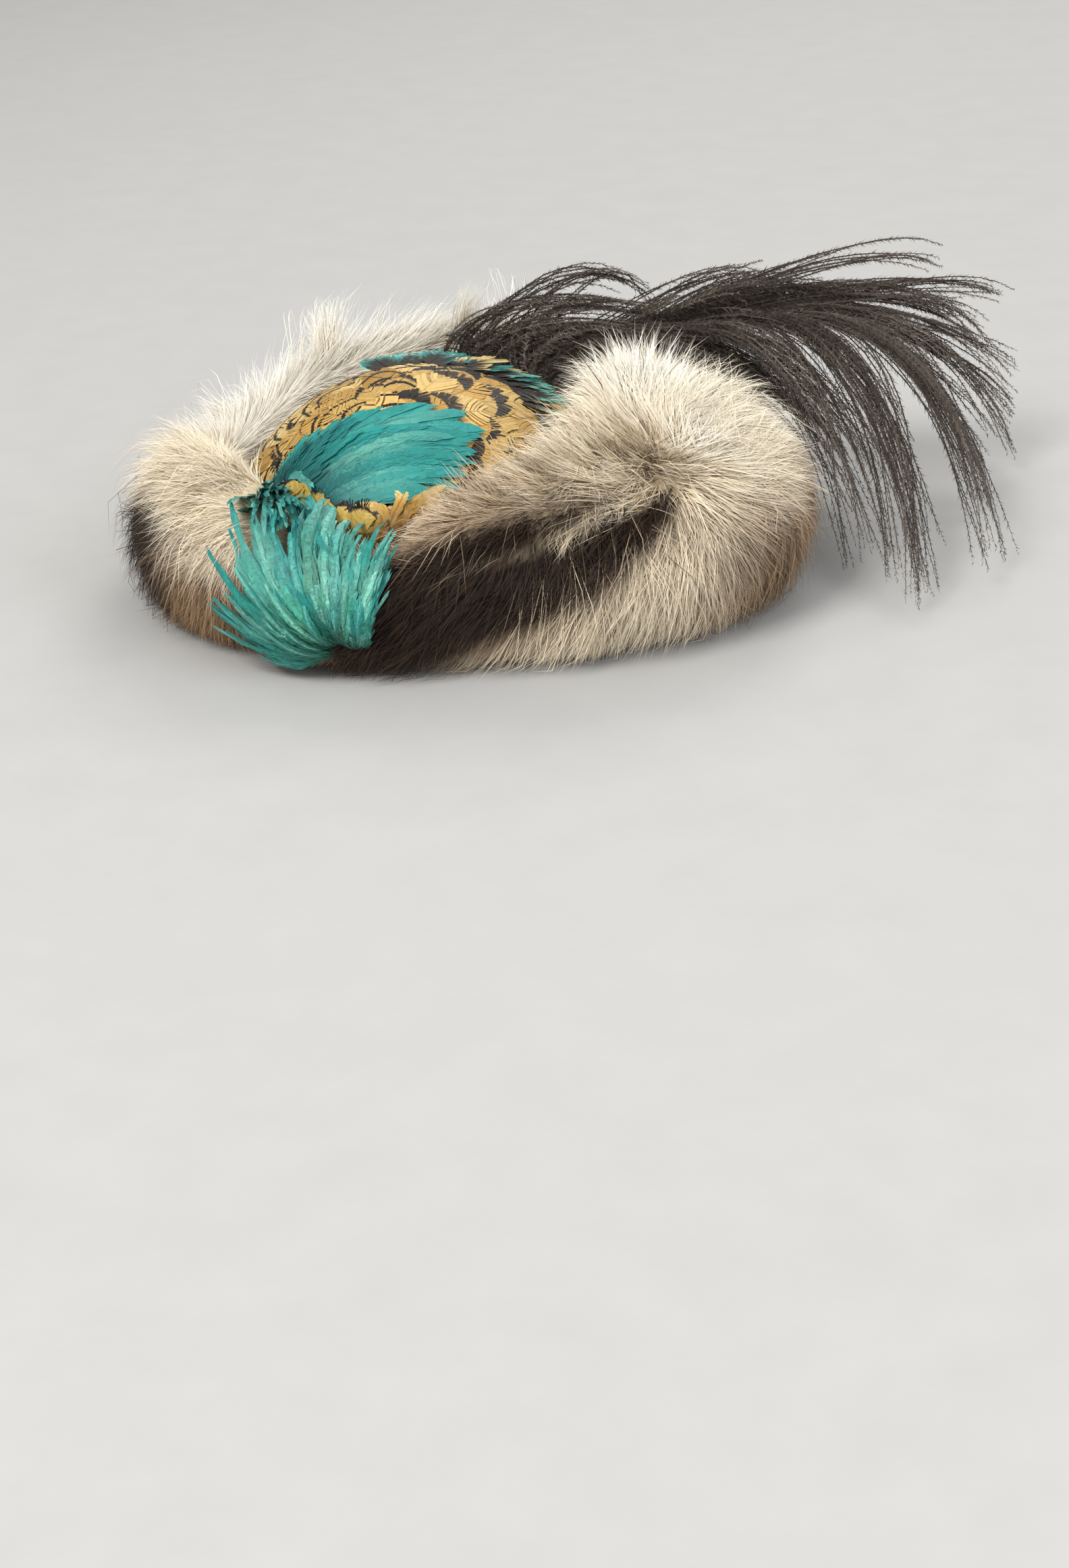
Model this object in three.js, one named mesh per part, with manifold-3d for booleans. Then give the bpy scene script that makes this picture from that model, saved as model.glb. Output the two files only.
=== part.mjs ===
// Tilt hat. A hollow felt crown is bedded with small game-bird feathers and ringed by a wide roll of
// long fur, made of two pelts that meet at the front and at the back. Dyed hackles cover the front join
// and sweep up over the crown, and an ostrich plume springs from the crease at the back.
// Millimetres. +Z is up, the wearer looks along -Y, and +X is the wearer's left.
import * as THREE from 'three';
import { mergeVertices } from 'three/addons/utils/BufferGeometryUtils.js';
import Module from 'manifold-3d';

// Driving dimensions
const CROWN_WIDTH = 134; // felt dome across the ears
const CROWN_DEPTH = 142; // felt dome from brow to nape
const CROWN_RISE = 60; // dome above its straight band
const CROWN_BAND = 4; // straight band under the dome
const FELT_WALL = 2; // thickness of the felt
const BED_THICKNESS = 2.4; // sewn bed that carries the crown's feathers
const SCALE_RELIEF = 1.2; // how far a crown feather stands proud of its bed
const BED_FOOT = 8; // height of the bed's thick foot, hidden in the roll
const CLEARANCE = 0.3; // gap between pieces that touch

const ROLL_REACH = 40; // how far the roll stands out beyond the crown, before its table
const ROLL_HEIGHT = 60; // height of the roll, before its table
const ROLL_SHIFT = 5; // the ring of fur sits this far towards the wearer's left
const SECTION_FULLNESS = 0.85; // 1 is an oval section, and less is squarer
const SOLE_PRESS = 1.18; // how far the underside is pressed flat, 1 being not at all
const CREST_LEAN = 1.6; // how strongly the table's crest draws the top sideways
const JOIN_ROUNDING = [0.84, 0.97]; // the section's size at a pelt's end and one step in from it
const LOCK_LENGTH = 34; // a lock of fur, root to tip
const LOCK_WIDTH = 17; // a lock across its root
const LOCK_TUCK = 0.35; // share of LOCK_RISE that its root is sunk in
const LOCK_RISE = 5; // how far a lock's tip stands off the roll

const HACKLE_WIDTH = 11; // one dyed hackle across its middle
const VANE_THICKNESS = 1.2; // a flat feather, as built
const FAN_BULGE = 2.5; // how far a hackle's middle stands off the fur
const FAN_TUCK = 6; // how deep a hackle's root is sewn into the fur
const SWEEP_WIDTH = 14; // one strip of the sweep over the crown
const SCALE_WIDTH = 22; // one crown feather across its middle
const EDGE_WIDTH = 18; // one dark feather along the crown's back edge
const EDGE_RISE = 2; // how far its tip lifts
const TIP_WIDTH = 11; // one small black-tipped feather
const CURL_WIDTH = 6; // one curled golden ribbon
const CREASE_AROUND = 98; // where on the roll's section the small feathers are rooted, in degrees

const PLUME_REACH = 170; // the plume from its root to its furthest tip, sideways
const PLUME_RISE = 42; // how far the plume arches above its root
const PLUME_SPREAD = 100; // how far its tips fan out from front to back
const QUILL_THICKNESS = 3.4; // the plume's quill at its root
const PLUME_SEAT = 0.56; // where its root sits, as a share of the crown's half width and half depth
const FLUE_WIDTH = 15; // one lock of plume flues across its widest
const FLUE_ONWARD = 0.42; // share of its length that a lock follows the quill for
const FLUE_CREST = 0.15; // how high its first bend stands, as a share of its arch and length
const FLUE_DROOP = 0.3; // the same for its second bend, and how far that lies from its tip

// Fineness of the solids
const DOME_SIDES = 20;
const DOME_STEPS = 6;
const ROLL_SIDES = 14;
const ROLL_STEPS = 15;
const HACKLE_STEPS = 4;
const STRIP_STEPS = 4;
const SCALE_STEPS = 2;
const FLUE_STEPS = 3;

// The roll's sections. bearing in degrees, -90 at the front and 0 at the wearer's left; tuck is the inner
// radius as a share of the crown's, reach and height are shares of ROLL_REACH and ROLL_HEIGHT, and crest
// says where the top lies, from 0 at the inner edge to 1 at the outer edge.
const ROLL_SECTIONS = [
  { bearing: -150, tuck: 0.87, reach: 0.98, height: 0.97, crest: 0.3 },
  { bearing: -120, tuck: 0.89, reach: 1.0, height: 0.95, crest: 0.35 },
  { bearing: -95, tuck: 0.89, reach: 1.02, height: 0.72, crest: 0.4 },
  { bearing: -70, tuck: 0.89, reach: 1.0, height: 0.97, crest: 0.42 },
  { bearing: -45, tuck: 0.84, reach: 1.46, height: 1.1, crest: 0.35 },
  { bearing: -20, tuck: 0.76, reach: 1.8, height: 1.13, crest: 0.25 },
  { bearing: 10, tuck: 0.73, reach: 1.43, height: 1.1, crest: 0.2 },
  { bearing: 40, tuck: 0.81, reach: 0.88, height: 0.95, crest: 0.35 },
  { bearing: 70, tuck: 0.89, reach: 0.95, height: 0.93, crest: 0.45 },
  { bearing: 100, tuck: 0.92, reach: 1.0, height: 0.97, crest: 0.45 },
  { bearing: 130, tuck: 0.92, reach: 0.83, height: 0.87, crest: 0.45 },
  { bearing: 170, tuck: 0.89, reach: 0.65, height: 0.7, crest: 0.4 },
];

// The two pelts: where each starts and ends round the ring, and which way its fur lies along the ring
const PELTS = [
  { name: 'fur_roll_left', from: -278, to: -93, lay: -1, color: 0xcdb693 },
  { name: 'fur_roll_right', from: -93, to: 82, lay: 1, color: 0xd3bf9d },
];

// Rows of fur locks. around is the angle up the roll's section at the lock's root, 0 at the outer side
// and 90 on top; fall is how far round the section the lock runs; count is how many there are on a pelt.
const LOCK_ROWS = [
  { around: -12, fall: -14, count: 7, rise: 0.8, length: 0.9 },
  { around: 20, fall: -22, count: 7, rise: 1.0, length: 1.0 },
  { around: 54, fall: -24, count: 5, rise: 0.9, length: 1.0 },
  { around: 86, fall: 12, count: 3, rise: 1.1, length: 0.8 },
];
const FAN_BARE = { from: -130, to: -84 }; // the hackles lie here, so no lock is rooted

// The front fan's hackles, from bearing and angle round the roll's section at root and tip
const FAN_HACKLES = [
  { rootBearing: -99, rootAround: -32, tipBearing: -119, tipAround: -40, width: 0.7 },
  { rootBearing: -98, rootAround: -30, tipBearing: -119, tipAround: -18, width: 0.8 },
  { rootBearing: -98, rootAround: -28, tipBearing: -118, tipAround: 4, width: 0.9 },
  { rootBearing: -98, rootAround: -26, tipBearing: -116, tipAround: 30, width: 1.0 },
  { rootBearing: -97, rootAround: -24, tipBearing: -115, tipAround: 50, width: 1.0 },
  { rootBearing: -97, rootAround: -22, tipBearing: -112, tipAround: 70, width: 1.15 },
  { rootBearing: -96, rootAround: -22, tipBearing: -105, tipAround: 88, width: 1.1 },
  { rootBearing: -95, rootAround: -22, tipBearing: -99, tipAround: 92, width: 1.15 },
  { rootBearing: -94, rootAround: -22, tipBearing: -92, tipAround: 86, width: 1.0 },
  { rootBearing: -93, rootAround: -23, tipBearing: -88, tipAround: 66, width: 0.9 },
  { rootBearing: -93, rootAround: -24, tipBearing: -87, tipAround: 34, width: 0.8 },
];

// The sweep's strips over the crown, as shares of the crown's half width and half depth
const SWEEP_STRIPS = [
  { rootX: -0.58, rootY: -0.58, tipX: -0.46, tipY: -0.3, width: 0.9 },
  { rootX: -0.57, rootY: -0.62, tipX: -0.27, tipY: -0.29, width: 1.0 },
  { rootX: -0.56, rootY: -0.64, tipX: -0.06, tipY: -0.29, width: 1.0 },
  { rootX: -0.56, rootY: -0.66, tipX: 0.14, tipY: -0.3, width: 1.0 },
  { rootX: -0.55, rootY: -0.68, tipX: 0.34, tipY: -0.34, width: 1.0 },
  { rootX: -0.52, rootY: -0.71, tipX: 0.38, tipY: -0.45, width: 1.0 },
  { rootX: -0.45, rootY: -0.74, tipX: 0.39, tipY: -0.55, width: 0.9 },
  { rootX: -0.34, rootY: -0.78, tipX: 0.37, tipY: -0.68, width: 1.1 },
];

// Rings of crown feathers: azimuths run from first to last, and root and tip are shares of the crown's
// radius, so that 0 is the top of the dome and 1 its band
const SCALE_RINGS = [
  { first: -42, last: 196, count: 9, root: 0.5, tip: 0.82, lift: 0.4 },
  { first: -25, last: 185, count: 6, root: 0.2, tip: 0.58, lift: 0.75 },
  { first: 30, last: 150, count: 2, root: 0.02, tip: 0.34, lift: 1.0 },
];

// Dark feathers behind the crown's horizon, with azimuth, root and tip radius as shares of the crown's
const EDGE_FEATHERS = [
  { azimuth: 128, root: 0.3, tip: 0.62, width: 0.8 },
  { azimuth: 106, root: 0.3, tip: 0.66, width: 1.0 },
  { azimuth: 84, root: 0.3, tip: 0.68, width: 1.1 },
  { azimuth: 62, root: 0.32, tip: 0.7, width: 1.1 },
  { azimuth: 42, root: 0.38, tip: 0.72, width: 1.0 },
  { azimuth: 24, root: 0.44, tip: 0.74, width: 1.0 },
  { azimuth: 7, root: 0.48, tip: 0.76, width: 0.9 },
];

// Small black-tipped feathers that stand in the crease between the fan and the sweep
const TIP_CLUSTERS = [
  {
    name: 'tip_feathers_left',
    rows: [
      { bearing: -110, tipX: -0.41, tipY: -0.74, width: 1.1 },
      { bearing: -109, tipX: -0.28, tipY: -0.79, width: 1.1 },
    ],
  },
  {
    name: 'tip_feathers_right',
    rows: [
      { bearing: -99, tipX: -0.1, tipY: -0.84, width: 0.9 },
      { bearing: -95, tipX: 0.0, tipY: -0.84, width: 1.1 },
    ],
  },
];

// Curled golden ribbons beside them: each rises by rise mm before it comes down on the crown
const CURLS = [
  { bearing: -91, tipX: 0.3, tipY: -0.79, rise: 9, width: 1.0 },
  { bearing: -89, tipX: 0.22, tipY: -0.83, rise: 5, width: 1.0 },
  { bearing: -90, tipX: 0.14, tipY: -0.84, rise: 12, width: 0.8 },
];

// The quill's stations: x, y and z from its root, as shares of PLUME_REACH, PLUME_SPREAD and PLUME_RISE
const QUILL_STATIONS = [
  { x: 0, y: 0, z: 0 },
  { x: 0.1, y: 0.08, z: 0.25 },
  { x: 0.25, y: 0.17, z: 0.42 },
  { x: 0.42, y: 0.25, z: 0.47 },
  { x: 0.58, y: 0.32, z: 0.42 },
];

// Locks of flues: where each leaves the quill, its tip as shares of PLUME_REACH, PLUME_SPREAD and
// PLUME_RISE from the quill's root, and how far it arches before it droops
const FLUE_LOCKS = [
  { leave: 0.04, x: 0.17, y: 0.13, z: 0.96, arch: 0.5 },
  { leave: 0.08, x: 0.41, y: 0.24, z: 0.93, arch: 0.3 },
  { leave: 0.15, x: 0.61, y: 0.33, z: 0.85, arch: 0.3 },
  { leave: 0.25, x: 0.8, y: 0.41, z: 0.9, arch: 0.15 },
  { leave: 0.4, x: 0.93, y: 0.47, z: 0.62, arch: 0.25 },
  { leave: 0.5, x: 0.97, y: 0.48, z: 0.02, arch: 0.35 },
  { leave: 0.65, x: 1.0, y: 0.49, z: -0.5, arch: 0.5 },
  { leave: 0.8, x: 0.99, y: 0.4, z: -0.9, arch: 0.6 },
  { leave: 0.9, x: 0.97, y: -0.1, z: -0.93, arch: 0.6 },
  { leave: 0.75, x: 0.9, y: -0.7, z: -0.93, arch: 0.6 },
  { leave: 0.6, x: 0.8, y: -0.94, z: -0.93, arch: 0.5 },
  { leave: 0.5, x: 0.85, y: -0.4, z: -0.93, arch: 0.5 },
  { leave: 0.4, x: 0.69, y: -0.62, z: -0.93, arch: 0.4 },
  { leave: 0.25, x: 0.71, y: 0.26, z: -0.93, arch: 0.3 },
  { leave: 0.2, x: 0.63, y: 0.0, z: -0.9, arch: 0.25 },
  { leave: 0.12, x: 0.56, y: 0.3, z: -0.5, arch: 0.25 },
  { leave: 0.06, x: 0.47, y: 0.26, z: -0.2, arch: 0.2 },
  { leave: 0.03, x: 0.33, y: 0.2, z: 0.1, arch: 0.2 },
];
const FLUE_PAIR = { x: 0.03, y: 0.07, z: 0.08 }; // every third lock has a twin this much further in and lower

const wasm = await Module();
wasm.setup();
const radians = THREE.MathUtils.degToRad;

// Booleans

function signedVolume(positions, corners) {
  const a = new THREE.Vector3();
  const b = new THREE.Vector3();
  const c = new THREE.Vector3();
  let total = 0;
  for (let i = 0; i < corners.length; i += 3) {
    a.fromArray(positions, corners[i] * 3);
    b.fromArray(positions, corners[i + 1] * 3);
    c.fromArray(positions, corners[i + 2] * 3);
    total += a.dot(b.cross(c)) / 6;
  }
  return total;
}

// A closed geometry as a solid, whichever way its faces were wound
function solid(geometry) {
  const bare = geometry.clone();
  bare.deleteAttribute('normal');
  bare.deleteAttribute('uv');
  const merged = mergeVertices(bare, 1e-4);
  const positions = merged.attributes.position.array;
  const corners = [];
  for (let i = 0; i < merged.index.count; i += 3) {
    const [a, b, c] = [0, 1, 2].map((k) => merged.index.getX(i + k));
    if (a !== b && b !== c && c !== a) corners.push(a, b, c);
  }
  if (signedVolume(positions, corners) < 0) corners.reverse();
  return new wasm.Manifold(
    new wasm.Mesh({
      numProp: 3,
      vertProperties: Float32Array.from(positions),
      triVerts: Uint32Array.from(corners),
    }),
  );
}

// Overlapping solids as one body, with the blind pockets between them filled
function joined(solids) {
  const whole = solids.reduce((body, next) => body.add(next));
  const shells = whole.decompose().filter((shell) => shell.volume() > 0);
  return shells.reduce((body, next) => body.add(next));
}

// A body cut by its neighbours, without the crumbs that the cuts leave beside it
function trimmed(body, cutters) {
  const cut = cutters.reduce((left, cutter) => left.subtract(cutter), body);
  return cut.decompose().reduce((most, next) => (next.volume() > most.volume() ? next : most));
}

function pieceMesh(name, body, color, roughness) {
  const { vertProperties, triVerts } = body.getMesh();
  const geometry = new THREE.BufferGeometry();
  geometry.setAttribute('position', new THREE.BufferAttribute(vertProperties, 3));
  geometry.setIndex(new THREE.BufferAttribute(triVerts, 1));
  geometry.computeVertexNormals();
  const mesh = new THREE.Mesh(geometry, new THREE.MeshStandardMaterial({ color, roughness, metalness: 0 }));
  mesh.name = name;
  return mesh;
}

// The crown

// Half sizes of the dome at a height off the felt's outer face
function domeHalves(off) {
  return { x: CROWN_WIDTH / 2 + off, y: CROWN_DEPTH / 2 + off, z: CROWN_RISE + off };
}

// A shell of revolution between two offsets, stretched to the crown's oval. foot is where it starts,
// and the lowest footHeight of it is as thick as footOff says.
function domeShell(inner, outer, foot, footOff = outer, footHeight = 0) {
  const arc = (off, from) => {
    const { y, z } = domeHalves(off);
    return Array.from({ length: DOME_STEPS + 1 }, (_, i) => {
      const angle = from + ((Math.PI / 2 - from) * i) / DOME_STEPS;
      return new THREE.Vector2(y * Math.cos(angle), CROWN_BAND + z * Math.sin(angle));
    });
  };
  const side = CROWN_DEPTH / 2;
  const above = footHeight ? Math.asin(Math.min(1, (footHeight + 1) / domeHalves(outer).z)) : 0;
  const profile = [
    ...arc(inner, 0).reverse(),
    new THREE.Vector2(side + inner, foot),
    new THREE.Vector2(side + footOff, foot),
    ...(footHeight ? [new THREE.Vector2(side + footOff, CROWN_BAND)] : []),
    ...arc(outer, above),
  ];
  profile[0].x = 0;
  profile[profile.length - 1].x = 0;
  const shell = new THREE.LatheGeometry(profile, DOME_SIDES);
  shell.rotateX(Math.PI / 2);
  const { x, y } = domeHalves(outer);
  shell.scale(x / y, 1, 1);
  return solid(shell);
}

// A point over the crown from shares of its half sizes, at a height off the felt
function domePoint(shareX, shareY, off) {
  const half = domeHalves(off);
  const up = Math.sqrt(Math.max(0, 1 - shareX ** 2 - shareY ** 2));
  return new THREE.Vector3(shareX * half.x, shareY * half.y, CROWN_BAND + half.z * up);
}

function domeNormal(point) {
  const { x, y, z } = domeHalves(0);
  const slope = new THREE.Vector3(point.x / x ** 2, point.y / y ** 2, (point.z - CROWN_BAND) / z ** 2);
  return slope.normalize();
}

// The roll

const BED_TOP = CLEARANCE + BED_THICKNESS;
const CROWN_SKIN = BED_TOP + SCALE_RELIEF + CLEARANCE; // clear of every crown feather
const RING_RADIUS = CROWN_DEPTH / 2 + BED_TOP;
const DOME_SAG = (CROWN_DEPTH / 2) * (1 - Math.cos(Math.PI / DOME_SIDES)); // facet middles lie this far in

// The section at a bearing, eased through the table's rows
function rollSection(bearing) {
  const rows = ROLL_SECTIONS;
  const first = rows[0].bearing;
  const turned = THREE.MathUtils.euclideanModulo(bearing - first, 360) + first;
  const at = Math.max(0, rows.findLastIndex((row) => row.bearing <= turned));
  const pick = (step) => rows[THREE.MathUtils.euclideanModulo(at + step, rows.length)];
  const next = at + 1 < rows.length ? rows[at + 1].bearing : first + 360;
  const f = (turned - rows[at].bearing) / (next - rows[at].bearing);
  const eased = (column) => {
    const [p0, p1, p2, p3] = [-1, 0, 1, 2].map((step) => pick(step)[column]);
    const straight = 2 * p1 + (p2 - p0) * f;
    const square = (2 * p0 - 5 * p1 + 4 * p2 - p3) * f ** 2;
    return (straight + square + (3 * p1 - p0 - 3 * p2 + p3) * f ** 3) / 2;
  };
  const inner = eased('tuck') * RING_RADIUS;
  const outer = RING_RADIUS + eased('reach') * ROLL_REACH;
  return { inner, outer, height: eased('height') * ROLL_HEIGHT, crest: eased('crest') };
}

// A point on the roll's skin. fill draws the section in towards its middle.
function rollPoint(bearing, around, off = 0, fill = 1) {
  const { inner, outer, height, crest } = rollSection(bearing);
  const half = (outer - inner) / 2;
  const c = Math.cos(radians(around));
  const s = Math.sin(radians(around));
  const bulge = Math.sign(c) * Math.abs(c) ** SECTION_FULLNESS;
  const lean = (crest - 0.5) * CREST_LEAN * half * Math.max(s, 0) ** 1.5;
  const r = (inner + outer) / 2 + fill * (half * bulge + lean) + off * c;
  const level = s > 0 ? s : Math.max(-1, s * SOLE_PRESS);
  const z = Math.max(0, (height / 2) * (1 + fill * level) + off * s);
  const turn = radians(bearing);
  return new THREE.Vector3(ROLL_SHIFT + r * Math.cos(turn), r * Math.sin(turn), z);
}

function rollNormal(bearing, around) {
  const step = 1;
  const alongRing = rollPoint(bearing + step, around).sub(rollPoint(bearing - step, around));
  const upSection = rollPoint(bearing, around + step).sub(rollPoint(bearing, around - step));
  return alongRing.cross(upSection).normalize();
}

// A pelt's tube from one join to the other, rounded in where it meets the other pelt
function peltTube({ from, to }) {
  const tube = new THREE.CylinderGeometry(1, 1, 1, ROLL_SIDES, ROLL_STEPS, false);
  const place = tube.attributes.position;
  const gap = THREE.MathUtils.radToDeg(CLEARANCE / 2 / rollSection(from).inner);
  const vertex = new THREE.Vector3();
  for (let i = 0; i < place.count; i += 1) {
    vertex.fromBufferAttribute(place, i);
    const along = vertex.y + 0.5;
    const bearing = THREE.MathUtils.lerp(from + gap, to - gap, along);
    const around = THREE.MathUtils.radToDeg(Math.atan2(vertex.x, -vertex.z)) - 90;
    const end = Math.min(along, 1 - along) * ROLL_STEPS;
    const draw = JOIN_ROUNDING[Math.round(end)] ?? 1;
    const point = rollPoint(bearing, around, 0, draw * Math.hypot(vertex.x, vertex.z));
    place.setXYZ(i, point.x, point.y, point.z);
  }
  return solid(tube);
}

// Flat feathers and round locks, both bent along a path over a surface

// A size pushed outward by swell, with what lies on the axis left there
function swollen(size, swell) {
  return Math.abs(size) < 1e-6 ? 0 : size + Math.sign(size) * swell;
}

// path and normal take a share from 0 at the root to 1 at the tip
function bend(geometry, axis, path, normal, shape, swell = 0) {
  const place = geometry.attributes.position;
  const vertex = new THREE.Vector3();
  const step = 0.02;
  for (let i = 0; i < place.count; i += 1) {
    vertex.fromBufferAttribute(place, i);
    const along = vertex[axis] + 0.5;
    const tangent = path(Math.min(1, along + step)).sub(path(Math.max(0, along - step))).normalize();
    const out = normal(along);
    const side = tangent.clone().cross(out).normalize();
    const lift = side.clone().cross(tangent);
    const [across, up] = shape(along, vertex);
    const point = path(along)
      .addScaledVector(side, swollen(across, swell))
      .addScaledVector(lift, swollen(up, swell))
      .addScaledVector(tangent, (along > 0.999 ? swell : 0) - (along < 0.001 ? swell : 0));
    place.setXYZ(i, point.x, point.y, point.z);
  }
  return solid(geometry);
}

// A flat feather: profile gives its width along its length
function vane(path, normal, width, profile, steps, swell) {
  const plate = new THREE.BoxGeometry(1, 1, 1, steps, 1, 1);
  const shape = (along, vertex) => [vertex.z * width * profile(along), vertex.y * VANE_THICKNESS];
  return bend(plate, 'x', path, normal, shape, swell);
}

// A tapering lock, wider than it is thick; waist is how wide its root is, as a share of its width
function lock(path, normal, width, thickness, sides, steps, waist, swell) {
  const cone = new THREE.ConeGeometry(1, 1, sides, steps);
  const shape = (along, vertex) => {
    const full = waist + (1.8 - 0.4 * waist) * along;
    return [(vertex.x * width * full) / 2, (vertex.z * thickness * full) / 2];
  };
  return bend(cone, 'y', path, normal, shape, swell);
}

const lanceolate = (along) => 0.34 + 0.66 * Math.sin(Math.PI * (0.12 + 0.8 * along));
const rounded = (along) => 0.45 + 0.55 * Math.sin(Math.PI * (0.1 + 0.7 * along));
const strap = (along) => 0.75 + 0.25 * along;

// Front fan: hackles rooted under the roll's front, tips up over it
function frontFan(swell = 0) {
  const hackles = FAN_HACKLES.map((row, i) => {
    const height = CLEARANCE + (i % 2 ? 1.5 : 0.7) * VANE_THICKNESS; // every second hackle lies on top
    const bearing = (t) => THREE.MathUtils.lerp(row.rootBearing, row.tipBearing, t ** 1.15);
    const around = (t) => THREE.MathUtils.lerp(row.rootAround, row.tipAround, t);
    const off = (t) => height + FAN_BULGE * Math.sin(Math.PI * t * 0.9) - FAN_TUCK * (1 - t) ** 3;
    const path = (t) => rollPoint(bearing(t), around(t), off(t));
    const normal = (t) => rollNormal(bearing(t), around(t));
    return vane(path, normal, HACKLE_WIDTH * row.width, lanceolate, HACKLE_STEPS, swell);
  });
  return joined(hackles);
}

// Sweep: strips that lie over the crown feathers, fused where they fan out from the left. Each strip is
// made of straight steps, whose middles sag towards the dome.
const STRIP_SAG = CROWN_WIDTH / (16 * STRIP_STEPS ** 2);
const SWEEP_OFF = CROWN_SKIN + STRIP_SAG + 0.5 * VANE_THICKNESS;
function tealSweep(swell = 0) {
  return joined(
    SWEEP_STRIPS.map((row, i) => {
      const off = SWEEP_OFF + (i % 2) * 0.6 * VANE_THICKNESS;
      const path = (t) => {
        const x = THREE.MathUtils.lerp(row.rootX, row.tipX, t);
        return domePoint(x, THREE.MathUtils.lerp(row.rootY, row.tipY, t ** 0.85), off);
      };
      return vane(path, (t) => domeNormal(path(t)), SWEEP_WIDTH * row.width, strap, STRIP_STEPS, swell);
    }),
  );
}

// Crown feathers: rings of overlapping scales on their bed
function crownFeathers() {
  const scales = SCALE_RINGS.flatMap(({ first, last, count, root, tip, lift }) =>
    Array.from({ length: count }, (_, i) => {
      const turn = radians(THREE.MathUtils.lerp(first, last, i / (count - 1)));
      const path = (t) => {
        const share = THREE.MathUtils.lerp(root, tip, t);
        const off = BED_TOP + SCALE_RELIEF * lift * (1 - 0.25 * (i % 2)) * t - VANE_THICKNESS / 2;
        return domePoint(share * Math.cos(turn), share * Math.sin(turn), off);
      };
      return vane(path, (t) => domeNormal(path(t)), SCALE_WIDTH, rounded, SCALE_STEPS, 0);
    }),
  );
  const foot = BED_TOP + SCALE_RELIEF + DOME_SAG;
  const bed = domeShell(CLEARANCE, BED_TOP, CROWN_BAND / 2, foot, BED_FOOT);
  return joined([bed, ...scales]);
}

// Dark feathers that lie on the crown feathers and point back over the crown's horizon
const EDGE_OFF = CROWN_SKIN + VANE_THICKNESS / 2;
function edgeFeathers(swell = 0) {
  return joined(
    EDGE_FEATHERS.map(({ azimuth, root, tip, width }, i) => {
      const turn = radians(azimuth);
      const path = (t) => {
        const share = THREE.MathUtils.lerp(root, tip, t);
        const off = EDGE_OFF + (i % 2) * 0.6 * VANE_THICKNESS + EDGE_RISE * t ** 2;
        return domePoint(share * Math.cos(turn), share * Math.sin(turn), off);
      };
      return vane(path, (t) => domeNormal(path(t)), EDGE_WIDTH * width, rounded, SCALE_STEPS, swell);
    }),
  );
}

// A path from the roll's top to the crown that rises between the two
function creasePath(bearing, tipX, tipY, rise) {
  const root = rollPoint(bearing, CREASE_AROUND, -VANE_THICKNESS);
  const tip = domePoint(tipX, tipY, SWEEP_OFF + 2.6 * VANE_THICKNESS); // clear of both layers of the sweep
  const crest = root.clone().lerp(tip, 0.5).add(new THREE.Vector3(0, 0, rise));
  const curve = new THREE.QuadraticBezierCurve3(root, crest, tip);
  return (t) => curve.getPoint(t);
}

const frontSlope = new THREE.Vector3(0, -0.5, 0.87); // the way the crease's small feathers face

function tipCluster({ rows }, swell = 0) {
  return joined(
    rows.map(({ bearing, tipX, tipY, width }) => {
      const path = creasePath(bearing, tipX, tipY, VANE_THICKNESS);
      return vane(path, () => frontSlope, TIP_WIDTH * width, rounded, HACKLE_STEPS, swell);
    }),
  );
}

function goldCurls(swell = 0) {
  return joined(
    CURLS.map(({ bearing, tipX, tipY, rise, width }) => {
      const path = creasePath(bearing, tipX, tipY, rise);
      return vane(path, () => frontSlope, CURL_WIDTH * width, strap, STRIP_STEPS, swell);
    }),
  );
}

// The plume

const plumeRoot = domePoint(PLUME_SEAT, PLUME_SEAT, CROWN_SKIN + QUILL_THICKNESS);
function fromRoot({ x, y, z }) {
  return new THREE.Vector3(x * PLUME_REACH, y * PLUME_SPREAD, z * PLUME_RISE).add(plumeRoot);
}
const quillCurve = new THREE.CatmullRomCurve3(QUILL_STATIONS.map(fromRoot));
const quillFacing = new THREE.Vector3(0, -0.4, 0.9).normalize(); // the way its upper face looks
const flueFacing = new THREE.Vector3(0.2, -0.9, 0.4).normalize(); // the same for the flat of a lock

function plumeQuill(swell = 0) {
  const rod = new THREE.CylinderGeometry(0.45, 1, 1, 6, 6, false);
  const shape = (along, vertex) => [(vertex.x * QUILL_THICKNESS) / 2, (vertex.z * QUILL_THICKNESS) / 2];
  return bend(rod, 'y', (t) => quillCurve.getPoint(t), () => quillFacing, shape, swell);
}

function flueLock({ leave, x, y, z, arch }, twin, swell) {
  const away = twin ? FLUE_PAIR : { x: 0, y: 0, z: 0 };
  const start = quillCurve.getPoint(Math.max(0, leave - 0.03 * twin));
  const tip = fromRoot({ x: x - away.x, y: y - away.y, z: Math.max(z - away.z, -0.96) });
  const length = start.distanceTo(tip);
  const onward = quillCurve.getTangent(leave).multiplyScalar(length * FLUE_ONWARD);
  const over = start.clone().add(onward);
  over.z += FLUE_CREST * arch * length;
  const hang = tip.clone().lerp(over, FLUE_DROOP);
  hang.z += FLUE_DROOP * arch * length;
  const curve = new THREE.CubicBezierCurve3(start, over, hang, tip);
  return lock((t) => curve.getPoint(t), () => flueFacing, FLUE_WIDTH, FLUE_WIDTH * 0.3, 3, FLUE_STEPS, 0.3, swell);
}

function ostrichPlume(swell = 0) {
  const flues = FLUE_LOCKS.flatMap((row, i) =>
    i % 3 === 1 ? [flueLock(row, 0, swell), flueLock(row, 1, swell)] : [flueLock(row, 0, swell)],
  );
  return joined([plumeQuill(swell), ...flues]);
}

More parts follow.
